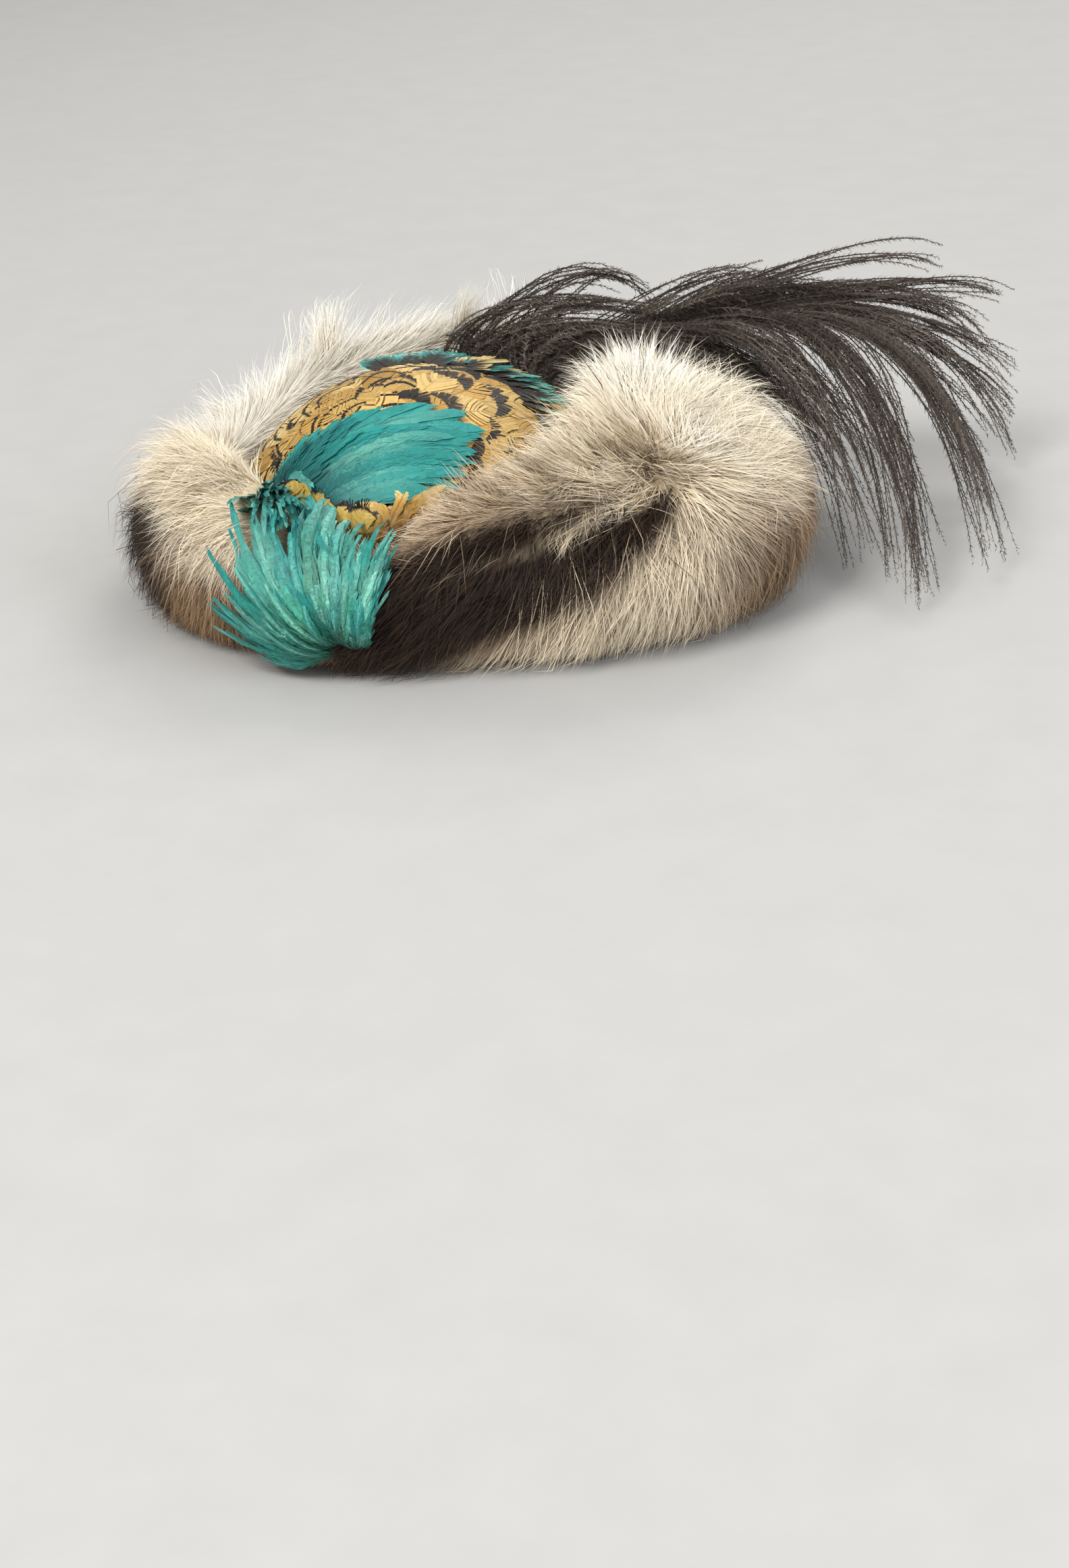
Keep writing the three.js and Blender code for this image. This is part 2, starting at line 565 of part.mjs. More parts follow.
// Fur locks on a pelt, rooted below its skin and lifting towards their tips
function furLocks({ from, to, lay }) {
  const locks = [];
  for (const { around, fall, count, rise, length } of LOCK_ROWS) {
    for (let i = 0; i < count; i += 1) {
      const root = THREE.MathUtils.lerp(from, to, (i + 0.5 + (around > 30 ? 0.25 * lay : 0)) / count);
      const turned = root < -180 ? root + 360 : root;
      if (turned > FAN_BARE.from && turned < FAN_BARE.to) continue;
      const radius = rollSection(root).outer;
      const run = THREE.MathUtils.radToDeg((LOCK_LENGTH * length) / radius) * 0.7 * lay;
      const edge = THREE.MathUtils.radToDeg((0.7 * LOCK_WIDTH) / rollSection(root).inner);
      const ends = [root, root + run].map((at) => Math.min(at - from, to - at));
      if (Math.min(...ends) < edge) continue;
      const path = (t) => {
        const off = LOCK_RISE * rise * ((1 + LOCK_TUCK) * t ** 1.4 - LOCK_TUCK);
        return rollPoint(root + run * t, around + fall * t, off);
      };
      const normal = (t) => rollNormal(root + run * t, around + fall * t);
      locks.push(lock(path, normal, LOCK_WIDTH, LOCK_WIDTH * 0.3, 4, 2, 1, 0));
    }
  }
  return locks;
}

// What a pelt keeps clear of: the crown, the feathers laid on the fur, and the plume's root
function peltKeepouts() {
  const crown = domeShell(-CROWN_DEPTH / 4, CROWN_SKIN + DOME_SAG, -ROLL_HEIGHT);
  const trims = [frontFan, tealSweep, edgeFeathers, goldCurls].map((make) => make(CLEARANCE));
  trims.push(ostrichPlume(CLEARANCE), ostrichPlume());
  const clusters = TIP_CLUSTERS.map((cluster) => tipCluster(cluster, CLEARANCE));
  const below = new THREE.BoxGeometry(4 * PLUME_REACH, 4 * PLUME_REACH, ROLL_HEIGHT);
  below.translate(0, 0, -ROLL_HEIGHT / 2);
  return [crown, ...trims, ...clusters, solid(below)];
}

const hat = new THREE.Group();
const keepouts = peltKeepouts();
const underTrims = [frontFan(CLEARANCE), tealSweep(CLEARANCE)]; // the small trims stand over these

const crownGroup = new THREE.Group();
crownGroup.add(pieceMesh('crown_base', domeShell(-FELT_WALL, 0, 0), 0x6b5c49, 0.9));
crownGroup.add(pieceMesh('crown_feathers', crownFeathers(), 0xc79a4b, 0.55));
const edges = trimmed(edgeFeathers(), [ostrichPlume(CLEARANCE)]);
crownGroup.add(pieceMesh('edge_feathers', edges, 0x1c1a17, 0.5));
crownGroup.add(pieceMesh('teal_sweep', tealSweep(), 0x35a79c, 0.6));
hat.add(crownGroup);

const furGroup = new THREE.Group();
for (const pelt of PELTS) {
  const whole = joined([peltTube(pelt), ...furLocks(pelt)]);
  furGroup.add(pieceMesh(pelt.name, trimmed(whole, keepouts), pelt.color, 0.95));
}
hat.add(furGroup);

const trimGroup = new THREE.Group();
trimGroup.add(pieceMesh('front_fan', frontFan(), 0x4fbfab, 0.6));
trimGroup.add(pieceMesh('gold_curls', trimmed(goldCurls(), underTrims), 0xcf9f45, 0.55));
for (const cluster of TIP_CLUSTERS) {
  const body = trimmed(tipCluster(cluster), [...underTrims, goldCurls(CLEARANCE)]);
  trimGroup.add(pieceMesh(cluster.name, body, 0xa8964a, 0.6));
}
trimGroup.add(pieceMesh('ostrich_plume', ostrichPlume(), 0x2b2623, 0.85));
hat.add(trimGroup);

// The origin is the middle of the whole hat's footprint, on the surface that it rests on
const box = new THREE.Box3().setFromObject(hat);
const middle = box.getCenter(new THREE.Vector3());
hat.position.set(-middle.x, -middle.y, -box.min.z);
hat.updateMatrixWorld(true);

export default hat;
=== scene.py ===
# %% [markdown]
# A tilt hat of fur and feathers, dressed in Blender.
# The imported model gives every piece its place: a felt dome, two fur pelts that ring it, and the feathers
# and the plume that are sewn on top. It stands still in the scene. Each cell below makes one thing that the
# hat is made of, as strips and hairs of real size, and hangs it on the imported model.

import functools
import math

import bpy
import numpy as np
from mathutils import Matrix, Vector


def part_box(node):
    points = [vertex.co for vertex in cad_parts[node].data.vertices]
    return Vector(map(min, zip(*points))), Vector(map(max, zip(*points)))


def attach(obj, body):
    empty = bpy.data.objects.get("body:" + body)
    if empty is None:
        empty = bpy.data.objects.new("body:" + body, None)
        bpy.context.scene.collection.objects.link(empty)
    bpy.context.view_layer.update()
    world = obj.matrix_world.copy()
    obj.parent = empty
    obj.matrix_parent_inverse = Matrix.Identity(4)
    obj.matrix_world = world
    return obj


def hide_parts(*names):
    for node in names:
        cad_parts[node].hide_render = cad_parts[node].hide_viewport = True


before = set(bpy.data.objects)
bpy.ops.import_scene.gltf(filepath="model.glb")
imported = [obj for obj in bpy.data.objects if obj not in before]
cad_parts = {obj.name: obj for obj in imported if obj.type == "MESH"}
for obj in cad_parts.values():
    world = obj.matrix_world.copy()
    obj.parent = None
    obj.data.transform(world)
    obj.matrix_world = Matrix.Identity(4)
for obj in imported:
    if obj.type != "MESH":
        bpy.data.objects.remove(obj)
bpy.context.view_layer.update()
MM = 0.001
crown_low, crown_high = (np.array(corner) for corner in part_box("crown_base"))
crown_centre = np.array([(crown_low[0] + crown_high[0]) / 2, (crown_low[1] + crown_high[1]) / 2, 0.0])
print("crown centre", crown_centre.round(4))

# %% [markdown]
# The photograph looks at the hat from the front, a little to the wearer's left and from above, and the
# hat in it leans. Here it lies flat on a floor, so the camera leans instead. The lens looks at a
# point well above the middle of the picture, so the camera is aimed first and then turned until the ring's
# centre falls on its own pixel. Nothing is shifted.

# %% Camera
PICTURE = (1584, 2324)
LOOK_AZIMUTH, LOOK_ELEVATION, LOOK_ROLL = (math.radians(angle) for angle in (12, 21, 4))
DISTANCE = 0.9
PIXELS_PER_METRE = 4080
AIM_PIXEL = (645, 705)
AIM_HEIGHT = 30 * MM
RING_SHIFT = 5 * MM  # the fur ring's centre lies this far to the side of the crown's
SENSOR = 36
CLIP = (0.05, 20)


def make_camera():
    aim = Vector(crown_centre) + Vector((RING_SHIFT, 0, AIM_HEIGHT))
    flat = math.cos(LOOK_ELEVATION)
    back = Vector((math.sin(LOOK_AZIMUTH) * flat, -math.cos(LOOK_AZIMUTH) * flat, math.sin(LOOK_ELEVATION)))
    ahead = -back
    right = ahead.cross(Vector((0, 0, 1))).normalized()
    up = right.cross(ahead)
    lean = Matrix.Rotation(-LOOK_ROLL, 3, back)
    right, up = lean @ right, lean @ up
    focal = PIXELS_PER_METRE * DISTANCE
    across = (AIM_PIXEL[0] - PICTURE[0] / 2) / focal
    above = (PICTURE[1] / 2 - AIM_PIXEL[1]) / focal
    yaw = Matrix.Rotation(math.atan(across), 3, up)
    ahead, right = yaw @ ahead, yaw @ right
    pitch = Matrix.Rotation(-math.atan(above * math.cos(math.atan(across))), 3, right)
    ahead, up = pitch @ ahead, pitch @ up
    lens = bpy.data.cameras.new("camera")
    lens.sensor_width = SENSOR
    lens.lens = SENSOR * focal / PICTURE[1]
    lens.clip_start, lens.clip_end = CLIP
    camera = bpy.data.objects.new("camera", lens)
    turn = Matrix((right, up, -ahead)).transposed().to_4x4()
    camera.matrix_world = Matrix.Translation(aim + back * DISTANCE) @ turn
    bpy.context.scene.collection.objects.link(camera)
    bpy.context.scene.camera = camera
    return camera


camera = make_camera()
print("camera at", [round(x, 3) for x in camera.matrix_world.translation])

# %% [markdown]
# A shader is a graph, but it reads best as arithmetic. Wire wraps one socket, so that sums and products of
# wires add Math nodes by themselves, and Finish makes a material and any other node in it. Colours are
# given as they look on a screen, and turned to the linear values that the renderer adds up.

# %% Shader arithmetic
OPERATIONS = {
    "__add__": "ADD", "__sub__": "SUBTRACT", "__mul__": "MULTIPLY", "__truediv__": "DIVIDE",
    "absolute": "ABSOLUTE", "fraction": "FRACT", "least": "MINIMUM", "most": "MAXIMUM",
}


def paint(code):
    """A screen colour such as "#e4dbc8" as linear red, green and blue."""
    screen = np.array([int(code[i:i + 2], 16) for i in (1, 3, 5)]) / 255
    return np.where(screen <= 0.04045, screen / 12.92, ((screen + 0.055) / 1.055) ** 2.4)


class Wire:
    """A socket whose sums, products and comparisons add Math nodes, as OPERATIONS names them."""

    def __init__(self, finish, socket):
        self.finish = finish
        self.socket = socket

    def maths(self, operation, *others):
        return self.finish.add("Math", {"operation": operation}, (self, *others))

    def __rsub__(self, other):
        return self.finish.add("Math", {"operation": "SUBTRACT"}, (other, self))

    def step(self, low, high):
        """0 up to low, 1 from high on, and smooth between; low may be the larger one."""
        settings = {"interpolation_type": "SMOOTHSTEP", "clamp": True}
        if low <= high:
            return self.finish.add("MapRange", settings, {0: self, 1: low, 2: high, 3: 0.0, 4: 1.0})
        return self.finish.add("MapRange", settings, {0: self, 1: high, 2: low, 3: 1.0, 4: 0.0})


for name, operation in OPERATIONS.items():
    setattr(Wire, name, functools.partialmethod(Wire.maths, operation))


class Finish:
    """A material with a Principled shader; sockets that stay the same all over are given by name."""

    def __init__(self, name, **constants):
        self.material = bpy.data.materials.new(name)
        self.material.use_nodes = True
        self.tree = self.material.node_tree
        self.shader = self.tree.nodes["Principled BSDF"]
        for socket, value in constants.items():
            self.shader.inputs[socket.replace("_", " ")].default_value = value

    def add(self, kind, settings=None, inputs=(), output=0):
        node = self.tree.nodes.new("ShaderNode" + kind)
        for name, value in (settings or {}).items():
            setattr(node, name, value)
        for key, value in inputs.items() if isinstance(inputs, dict) else enumerate(inputs):
            if isinstance(value, Wire):
                self.tree.links.new(value.socket, node.inputs[key])
            else:
                node.inputs[key].default_value = value
        return Wire(self, node.outputs[output])

    def attribute(self, name, output="Fac"):
        return self.add("Attribute", {"attribute_name": name}, output=output)

    def place(self):
        return self.add("TexCoord", output="Object")

    def noise(self, where, scale, detail=3.0, roughness=0.6):
        inputs = {"Vector": where, "Scale": scale, "Detail": detail, "Roughness": roughness}
        return self.add("TexNoise", inputs=inputs)

    def mix(self, share, one, other):
        one, other = (c if isinstance(c, Wire) else (*c, 1.0) for c in (one, other))
        return self.add("Mix", {"data_type": "RGBA"}, {0: share, 6: one, 7: other}, 2)

    def set(self, socket, value):
        self.tree.links.new(value.socket, self.shader.inputs[socket])
        return self

    def bump(self, height, strength, distance):
        normal = self.add("Bump", inputs={"Strength": strength, "Distance": distance, "Height": height})
        return self.set("Normal", normal)


# %% [markdown]
# The stage is a plain pale floor, wide enough to fill the picture behind the hat. The photograph was taken
# indoors in soft light from above and in front, with little shadow. A wide lamp over the left shoulder of the
# camera, a weaker one on the right and a pale sky give the same.

# %% Floor and lights
FLOOR_SIDE = 12.0
LAMPS = [  # name, place, power, size and colour
    ("key", (-0.7, -1.0, 1.5), 30, 0.8, (1.0, 0.97, 0.93)),
    ("fill", (1.1, -0.7, 0.9), 12, 1.0, (0.93, 0.96, 1.0)),
    ("rim", (0.2, 1.2, 1.2), 10, 0.8, (1.0, 0.98, 0.95)),
]
SKY_COLOUR, SKY_STRENGTH = (1.0, 0.98, 0.95, 1.0), 0.6


def make_floor():
    half = FLOOR_SIDE / 2
    mesh = bpy.data.meshes.new("floor")
    corners = [(-half, -half, 0), (half, -half, 0), (half, half, 0), (-half, half, 0)]
    mesh.from_pydata(corners, [], [(0, 1, 2, 3)])
    floor = bpy.data.objects.new("floor", mesh)
    bpy.context.scene.collection.objects.link(floor)
    finish = Finish("pale_floor", Roughness=0.8)
    grain = finish.noise(finish.place(), 40.0)
    finish.set("Base Color", finish.mix(grain, paint("#a9a9a8"), paint("#b1b1b0")))
    mesh.materials.append(finish.material)


def make_lamp(name, place, power, size, colour):
    data = bpy.data.lights.new(name, "AREA")
    data.energy, data.size, data.color = power, size, colour
    lamp = bpy.data.objects.new(name, data)
    lamp.location = place
    lamp.rotation_mode = "QUATERNION"
    lamp.rotation_quaternion = (Vector(crown_centre) - Vector(place)).to_track_quat("-Z", "Y")
    bpy.context.scene.collection.objects.link(lamp)


def make_sky():
    world = bpy.data.worlds.new("soft_sky")
    world.use_nodes = True
    sky = world.node_tree.nodes["Background"]
    sky.inputs["Color"].default_value = SKY_COLOUR
    sky.inputs["Strength"].default_value = SKY_STRENGTH
    bpy.context.scene.world = world


make_floor()
for lamp in LAMPS:
    make_lamp(*lamp)
make_sky()
bpy.context.scene.view_settings.view_transform = "Standard"
print("a floor of", FLOOR_SIDE, "m and", len(LAMPS), "lamps")

# %% [markdown]
# The hat's forms come from the same few formulas as its solids: an oval dome, and a ring whose section
# changes with the bearing. Arrays go in and arrays come out, so that a hundred thousand hairs are placed
# in one call. Bearings are in degrees, with -90 at the front and 0 at the wearer's left; around is the angle
# up the roll's section, from 0 at its outer side to 90 on top and 180 inside.

# %% Forms of the dome and the roll
CROWN_HALF = (crown_high - crown_low) / 2
CROWN_BAND = 4 * MM
CROWN_RISE = crown_high[2] - CROWN_BAND
CLEARANCE = 0.3 * MM
BED_THICKNESS, PLUMAGE_THICKNESS = 2.4 * MM, 1.2 * MM
BED_TOP = CLEARANCE + BED_THICKNESS
CROWN_SKIN = BED_TOP + PLUMAGE_THICKNESS + CLEARANCE
RING_RADIUS = CROWN_HALF[1] + BED_TOP
ROLL_REACH, ROLL_HEIGHT = 40 * MM, 60 * MM
SECTION_FULLNESS, SOLE_PRESS, CREST_LEAN = 0.85, 1.18, 1.6
LEAST_RISE = 0.2 * MM  # the least that a degree up the section may measure
ROLL_SECTIONS = np.array([  # bearing, tuck, reach, height, crest
    (-150, 0.87, 0.98, 0.97, 0.3), (-120, 0.89, 1.0, 0.95, 0.35), (-95, 0.89, 1.02, 0.72, 0.4),
    (-70, 0.89, 1.0, 0.97, 0.42), (-45, 0.84, 1.46, 1.1, 0.35), (-20, 0.76, 1.8, 1.13, 0.25),
    (10, 0.73, 1.43, 1.1, 0.2), (40, 0.81, 0.88, 0.95, 0.35), (70, 0.89, 0.95, 0.93, 0.45),
    (100, 0.92, 1.0, 0.97, 0.45), (130, 0.92, 0.83, 0.87, 0.45), (170, 0.89, 0.65, 0.7, 0.4),
])
UP = np.array([0.0, 0.0, 1.0])
TINY = 1e-12


def lerp(one, other, share):
    return one + (other - one) * share


def ease(value, low, high):
    """0 up to low, 1 from high on and smooth between; low may be the larger one."""
    share = np.clip((value - low) / (high - low), 0, 1)
    return share * share * (3 - 2 * share)


def unit(vectors):
    return vectors / np.maximum(np.linalg.norm(vectors, axis=-1, keepdims=True), TINY)


def heading_of(paths):
    return unit(np.gradient(paths, axis=1))


def through(p0, p1, p2, p3, share):
    """A smooth curve from p1 to p2, which also heads for the places before and after them."""
    bend, twist = 2 * p0 - 5 * p1 + 4 * p2 - p3, 3 * p1 - p0 - 3 * p2 + p3
    return (2 * p1 + (p2 - p0) * share + bend * share**2 + twist * share**3) / 2


def bow(root, crest, tip, bend=0.0):
    """A path from root to tip that is pulled towards crest and bends away at its tip."""

    def path(t):
        t = np.asarray(t)[:, None]
        return root * (1 - t) ** 2 + 2 * crest * t * (1 - t) + tip * t**2 + bend * t**3

    return path


def dome_point(share_x, share_y, off):
    """A point over the crown, from shares of its half sizes and a height off the felt."""
    up = np.sqrt(np.clip(1 - share_x**2 - share_y**2, 0, 1))
    x, y = share_x * (CROWN_HALF[0] + off), share_y * (CROWN_HALF[1] + off)
    parts = np.broadcast_arrays(x, y, CROWN_BAND + (CROWN_RISE + off) * up)
    return np.stack(parts, -1) + crown_centre


def dome_normal(points):
    half = np.array([CROWN_HALF[0], CROWN_HALF[1], CROWN_RISE])
    return unit((points - crown_centre - CROWN_BAND * UP) / half**2)


def roll_section(bearing):
    """The section's inner and outer radius, height and crest, eased through the table's rows."""
    rows = ROLL_SECTIONS
    starts = rows[:, 0]
    turned = (bearing - starts[0]) % 360 + starts[0]
    at = np.searchsorted(starts, turned, side="right") - 1
    ends = np.append(starts[1:], starts[0] + 360)
    f = ((turned - starts[at]) / (ends[at] - starts[at]))[..., None]
    eased = through(*(rows[(at + step) % len(rows), 1:] for step in (-1, 0, 1, 2)), f)
    tuck, reach, height, crest = np.moveaxis(eased, -1, 0)
    return tuck * RING_RADIUS, RING_RADIUS + reach * ROLL_REACH, height * ROLL_HEIGHT, crest


def roll_point(bearing, around, off=0.0, fill=1.0):
    """A point on the roll's skin, or off it; fill draws the section in towards its middle."""
    given = (np.asarray(x, float) for x in (bearing, around, off, fill))
    bearing, around, off, fill = np.broadcast_arrays(*given)
    inner, outer, height, crest = roll_section(bearing)
    half = (outer - inner) / 2
    c, s = np.cos(np.radians(around)), np.sin(np.radians(around))
    lean = (crest - 0.5) * CREST_LEAN * half * np.maximum(s, 0) ** 1.5
    radius = (inner + outer) / 2 + fill * (half * np.sign(c) * np.abs(c) ** SECTION_FULLNESS + lean) + off * c
    level = np.where(s > 0, s, np.maximum(-1, s * SOLE_PRESS))
    z = np.maximum(0, height / 2 * (1 + fill * level) + off * s)
    turn = np.radians(bearing)
    place = np.stack([RING_SHIFT + radius * np.cos(turn), radius * np.sin(turn), z], -1)
    return place + crown_centre


def roll_frame(bearing, around):
    """The skin's normal, and how far a degree goes along the ring and up the section."""
    ring = (roll_point(bearing + 1, around) - roll_point(bearing - 1, around)) / 2
    rise = (roll_point(bearing, around + 1) - roll_point(bearing, around - 1)) / 2
    per_ring, per_rise = (np.linalg.norm(step, axis=-1) for step in (ring, rise))
    return unit(np.cross(ring, rise)), per_ring, np.maximum(per_rise, LEAST_RISE)


print("roll at the front", roll_point(-93, 90).round(4), "and at the hump", roll_point(10, 90).round(4))

# %% [markdown]
# Hair, barbs and flues are all thin strips that end in a point. One function turns arrays of paths into the
# corners and faces of such strips, and another writes any arrays into a mesh at once. Every strip
# also gets its own small cell in a map called OFBake, so that its colour can be stored in a picture later.

# %% Strips and meshes
FLOOR_ROOM = 0.1 * MM


def strips(paths, sides, widths, tints):
    """Flat strips along paths (n, k, 3), k - 1 stations wide and then pointed."""
    n, k, _ = paths.shape
    sides = np.broadcast_to(sides if sides.ndim == 3 else sides[:, None], paths.shape)
    half = sides * widths[..., None] / 2
    per = 2 * k - 1
    points = np.empty((n, per, 3))
    points[:, 0:-1:2] = (paths - half)[:, :-1]
    points[:, 1:-1:2] = (paths + half)[:, :-1]
    points[:, -1] = paths[:, -1]
    colours = np.empty((n, per, 3))
    colours[:, 0:-1:2] = colours[:, 1:-1:2] = tints[:, :-1]
    colours[:, -1] = tints[:, -1]
    start = np.arange(n)[:, None] * per
    quads = [start + 2 * j + np.array([[0, 1, 3, 2]]) for j in range(k - 2)]
    quads = np.concatenate(quads) if quads else np.empty((0, 4), int)
    tips = start + np.array([[per - 3, per - 2, per - 1]])
    local = np.zeros((per, 2))
    local[0:-1:2], local[1:-1:2], local[-1] = (0.2, 0), (0.8, 0), (0.5, 0.9)
    local[:-1, 1] = np.repeat(np.linspace(0.1, 0.75, k - 1), 2)
    return {"points": points.reshape(-1, 3), "quads": quads, "tris": tips, "tint": colours.reshape(-1, 3),
            "cell": np.tile(local, (n, 1)), "strip": np.repeat(np.arange(n), per)}


def gather(parts):
    """Several parts as one, with their faces renumbered."""
    whole = {name: [] for name in parts[0]}
    corners = strip_count = 0
    for part in parts:
        for name, values in part.items():
            shift = corners if name in ("quads", "tris") else strip_count if name == "strip" else 0
            whole[name].append(values + shift)
        corners += len(part["points"])
        strip_count += part["strip"].max() + 1
    return {name: np.concatenate(values) for name, values in whole.items()}


def lattice(rings, turns):
    """The corner numbers of a tube, those of each corner's neighbour on its ring, and the quads between."""
    grid = np.arange(rings * turns).reshape(rings, turns)
    beside = np.roll(grid, -1, 1)
    return grid, beside, np.stack([grid[:-1], grid[1:], beside[1:], beside[:-1]], -1).reshape(-1, 4)


def build(name, part, finish, replaces=()):
    """Writes a part's arrays into a mesh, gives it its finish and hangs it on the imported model."""
    quads, tris = part["quads"], part["tris"]
    part["points"][:, 2] = np.maximum(part["points"][:, 2], FLOOR_ROOM)
    corners = np.concatenate([quads.ravel(), tris.ravel()]).astype(np.int32)
    sizes = np.concatenate([np.full(len(quads), 4), np.full(len(tris), 3)])
    mesh = bpy.data.meshes.new(name)
    mesh.vertices.add(len(part["points"]))
    mesh.vertices.foreach_set("co", part["points"].astype(np.float32).ravel())
    mesh.loops.add(len(corners))
    mesh.loops.foreach_set("vertex_index", corners)
    mesh.polygons.add(len(sizes))
    mesh.polygons.foreach_set("loop_start", np.concatenate([[0], np.cumsum(sizes)[:-1]]).astype(np.int32))
    for label in ("tint", "vane", "kind"):
        if label not in part:
            continue
        values = np.asarray(part[label], np.float32)
        spare = np.ones((len(values), 4 - values.shape[1]), np.float32)
        colour = mesh.color_attributes.new(label, "FLOAT_COLOR", "POINT")
        colour.data.foreach_set("color", np.hstack([values, spare]).ravel())
    side = math.ceil(math.sqrt(part["strip"].max() + 1))
    cells = np.stack([part["strip"] % side, part["strip"] // side], -1)
    bake = mesh.uv_layers.new(name="OFBake")
    bake.data.foreach_set("uv", ((cells + part["cell"]) / side)[corners].astype(np.float32).ravel())
    mesh.update(calc_edges=True)
    mesh.materials.append(finish.material)
    piece = bpy.data.objects.new(name, mesh)
    bpy.context.scene.collection.objects.link(piece)
    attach(piece, "root")
    if replaces:
        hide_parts(*replaces)
    print(f"{name}: {2 * len(quads) + len(tris)} triangles")
    return piece


# %% [markdown]
# Fur is three coats. Soft down fills the pelt, the coat proper lies over it, and the guard hairs are longer
# and fewer and stand off both, which gives the fluffy outline. Hairs also stick together in small tufts, so
# each one leans to the middle of its tuft towards its tip. A particle system could grow them, but its hairs
# don't become a mesh that others can open, so here they are strips from the start.
# Each hair starts under the skin, follows it the way the fur lies, and rises to just over it at its tip.

# %% How the fur lies
FUR_DEPTH = 9 * MM
CREST_AROUND, FALL_SPAN = 95, 22  # the fur falls to both sides of the crest, steeply from this far off
LEFT_PARTINGS, LEFT_FALL_SPAN = (98, 128), 16  # at the ends of the left pelt and in its middle
WHORL = (-28, 66)  # the bearing and around from which the fur of the deep lobe spreads
WHORL_CORE = 8 * MM  # within this of the whorl's middle the hair has less and less of a lie
UNROLLED = np.radians(1) * np.array([100 * MM, 37 * MM])  # what a degree measures along the ring and round it
DICE_SIDE = 256


def flattened(bearing, around, origin=(0, 0)):
    """Places on the roll as metres on a flat sheet, from an origin in degrees."""
    return (np.stack([bearing, around], -1) - origin) * UNROLLED


def near_whorl(bearing, around, span):
    """1 in the middle of the whorl, and almost 0 at twice the span."""
    return np.exp(-((flattened(bearing, around, WHORL) / span) ** 2).sum(-1))


def right_lie(bearing, around):
    """Away from the whorl at the front and the side, and down from the crest at the back."""
    away = flattened(bearing, around, WHORL)
    spread = away / np.maximum(np.linalg.norm(away, axis=-1, keepdims=True), WHORL_CORE)
    fall = -np.tanh((CREST_AROUND - around) / FALL_SPAN)[..., None]
    fallen = np.concatenate([0.25 + 0 * fall, fall], -1)
    return lerp(spread * (1, 0.7) + fall * (0, 0.55), fallen, ease(bearing, 35, 60)[..., None])


def left_lie(bearing, around):
    """Along the ring towards the back, and to both sides of a parting."""
    parting = lerp(*LEFT_PARTINGS, ease(bearing, -185, -150) * ease(bearing, -100, -115))
    outward = -np.tanh((parting - around) / LEFT_FALL_SPAN)[..., None]
    along = -0.55 - 0.25 * ease(around, 20, -30)[..., None]
    return np.concatenate([along + 0 * outward, outward], -1)


def fur_lie(bearing, around, left):
    """The way the hair lies, as shares along the ring and up the section."""
    return unit((left_lie if left else right_lie)(bearing, around))


def tufts(bearing, around, size, seed):
    """Each hair's offset to the middle of its tuft, in degrees, and the tuft's own random numbers."""
    dice = np.random.default_rng(seed).random((DICE_SIDE, DICE_SIDE, 5))
    here = flattened(bearing, around, (-400, -400)) / size
    cell = np.floor(here).astype(int)
    best = np.full(len(here), 1e9)
    offset, luck = np.zeros((len(here), 2)), np.zeros((len(here), 3))
    for step_x in (-1, 0, 1):
        for step_y in (-1, 0, 1):
            near = cell + (step_x, step_y)
            roll = dice[near[:, 0] % DICE_SIDE, near[:, 1] % DICE_SIDE]
            away = near + roll[:, :2] - here
            closer = (away**2).sum(-1) < best
            best[closer] = (away[closer] ** 2).sum(-1)
            offset[closer] = away[closer]
            luck[closer] = roll[closer, 2:]
    return offset * size / UNROLLED, luck


def ripple(bearing, around, size, seed):
    """Smooth noise over the unrolled fur, from about -1 to 1."""
    dice = np.random.default_rng(seed)
    here = flattened(bearing, around) / size
    turns = dice.normal(size=(6, 2))
    phases = dice.random(6) * 2 * np.pi
    return np.sin(2.2 * here @ turns.T + phases).sum(-1) / 3


print("the whorl is at", roll_point(*WHORL).round(4))

# %% [markdown]
# The pelts aren't one colour. The left one is cream on top and runs through tan into a blackish outer fringe.
# Two dark bands cross the front of the right one, with a pale ridge between them, and its lobe is cream
# with brown tips along its outer edge. Each marking is a line of a few places on the roll with a width,
# and a hair's colour is asked for at the place where it shows, near its tip.

# %% Colours of the fur
CREAM, BLONDE, TAN = paint("#f4ebd9"), paint("#dfcba8"), paint("#a78661")
SILVER, CHALK = paint("#ded6c4"), paint("#f8f4ea")
TAUPE, BROWN, BLACKISH = paint("#8d7661"), paint("#4f3727"), paint("#18110e")
BEIGE = paint("#cdb598")
UPPER_BAND = [(-93, 24, 11), (-82, 34, 10), (-73, 35, 8), (-63, 38, 7), (-56, 43, 5), (-50, 47, 3)]
LOWER_BAND = [
    (-93, -24, 18), (-80, -12, 17), (-71, -4, 15), (-63, 2, 14), (-56, 12, 13), (-50, 24, 11), (-44, 31, 7),
]
BLOTCH_SIZE = 16 * MM
HUMP, HUMP_SPREAD = (12, 92), (26, 38)  # the pale top of the lobe, in degrees along and around
HALO_SOFTNESS, BAND_SOFTNESS = (20 * MM, 22 * MM), (8 * MM, 9 * MM)  # of the upper and the lower band
TICKED_FROM = 0.965  # hairs with more luck than this are dark outside the bands too
# painted light, in part: round the whorl the hair is paler to its root, which lightens the shade in its
# hollow and its dark roots
WHORL_PAINTED_LIGHT_SPAN = 14 * MM  # how far round the whorl the hair is pale to its root
PALE_RIDGE = [(-60, 23, 2.5), (-54, 35, 3.5), (-49, 42, 4), (-42, 49, 5), (-34, 52, 6)]


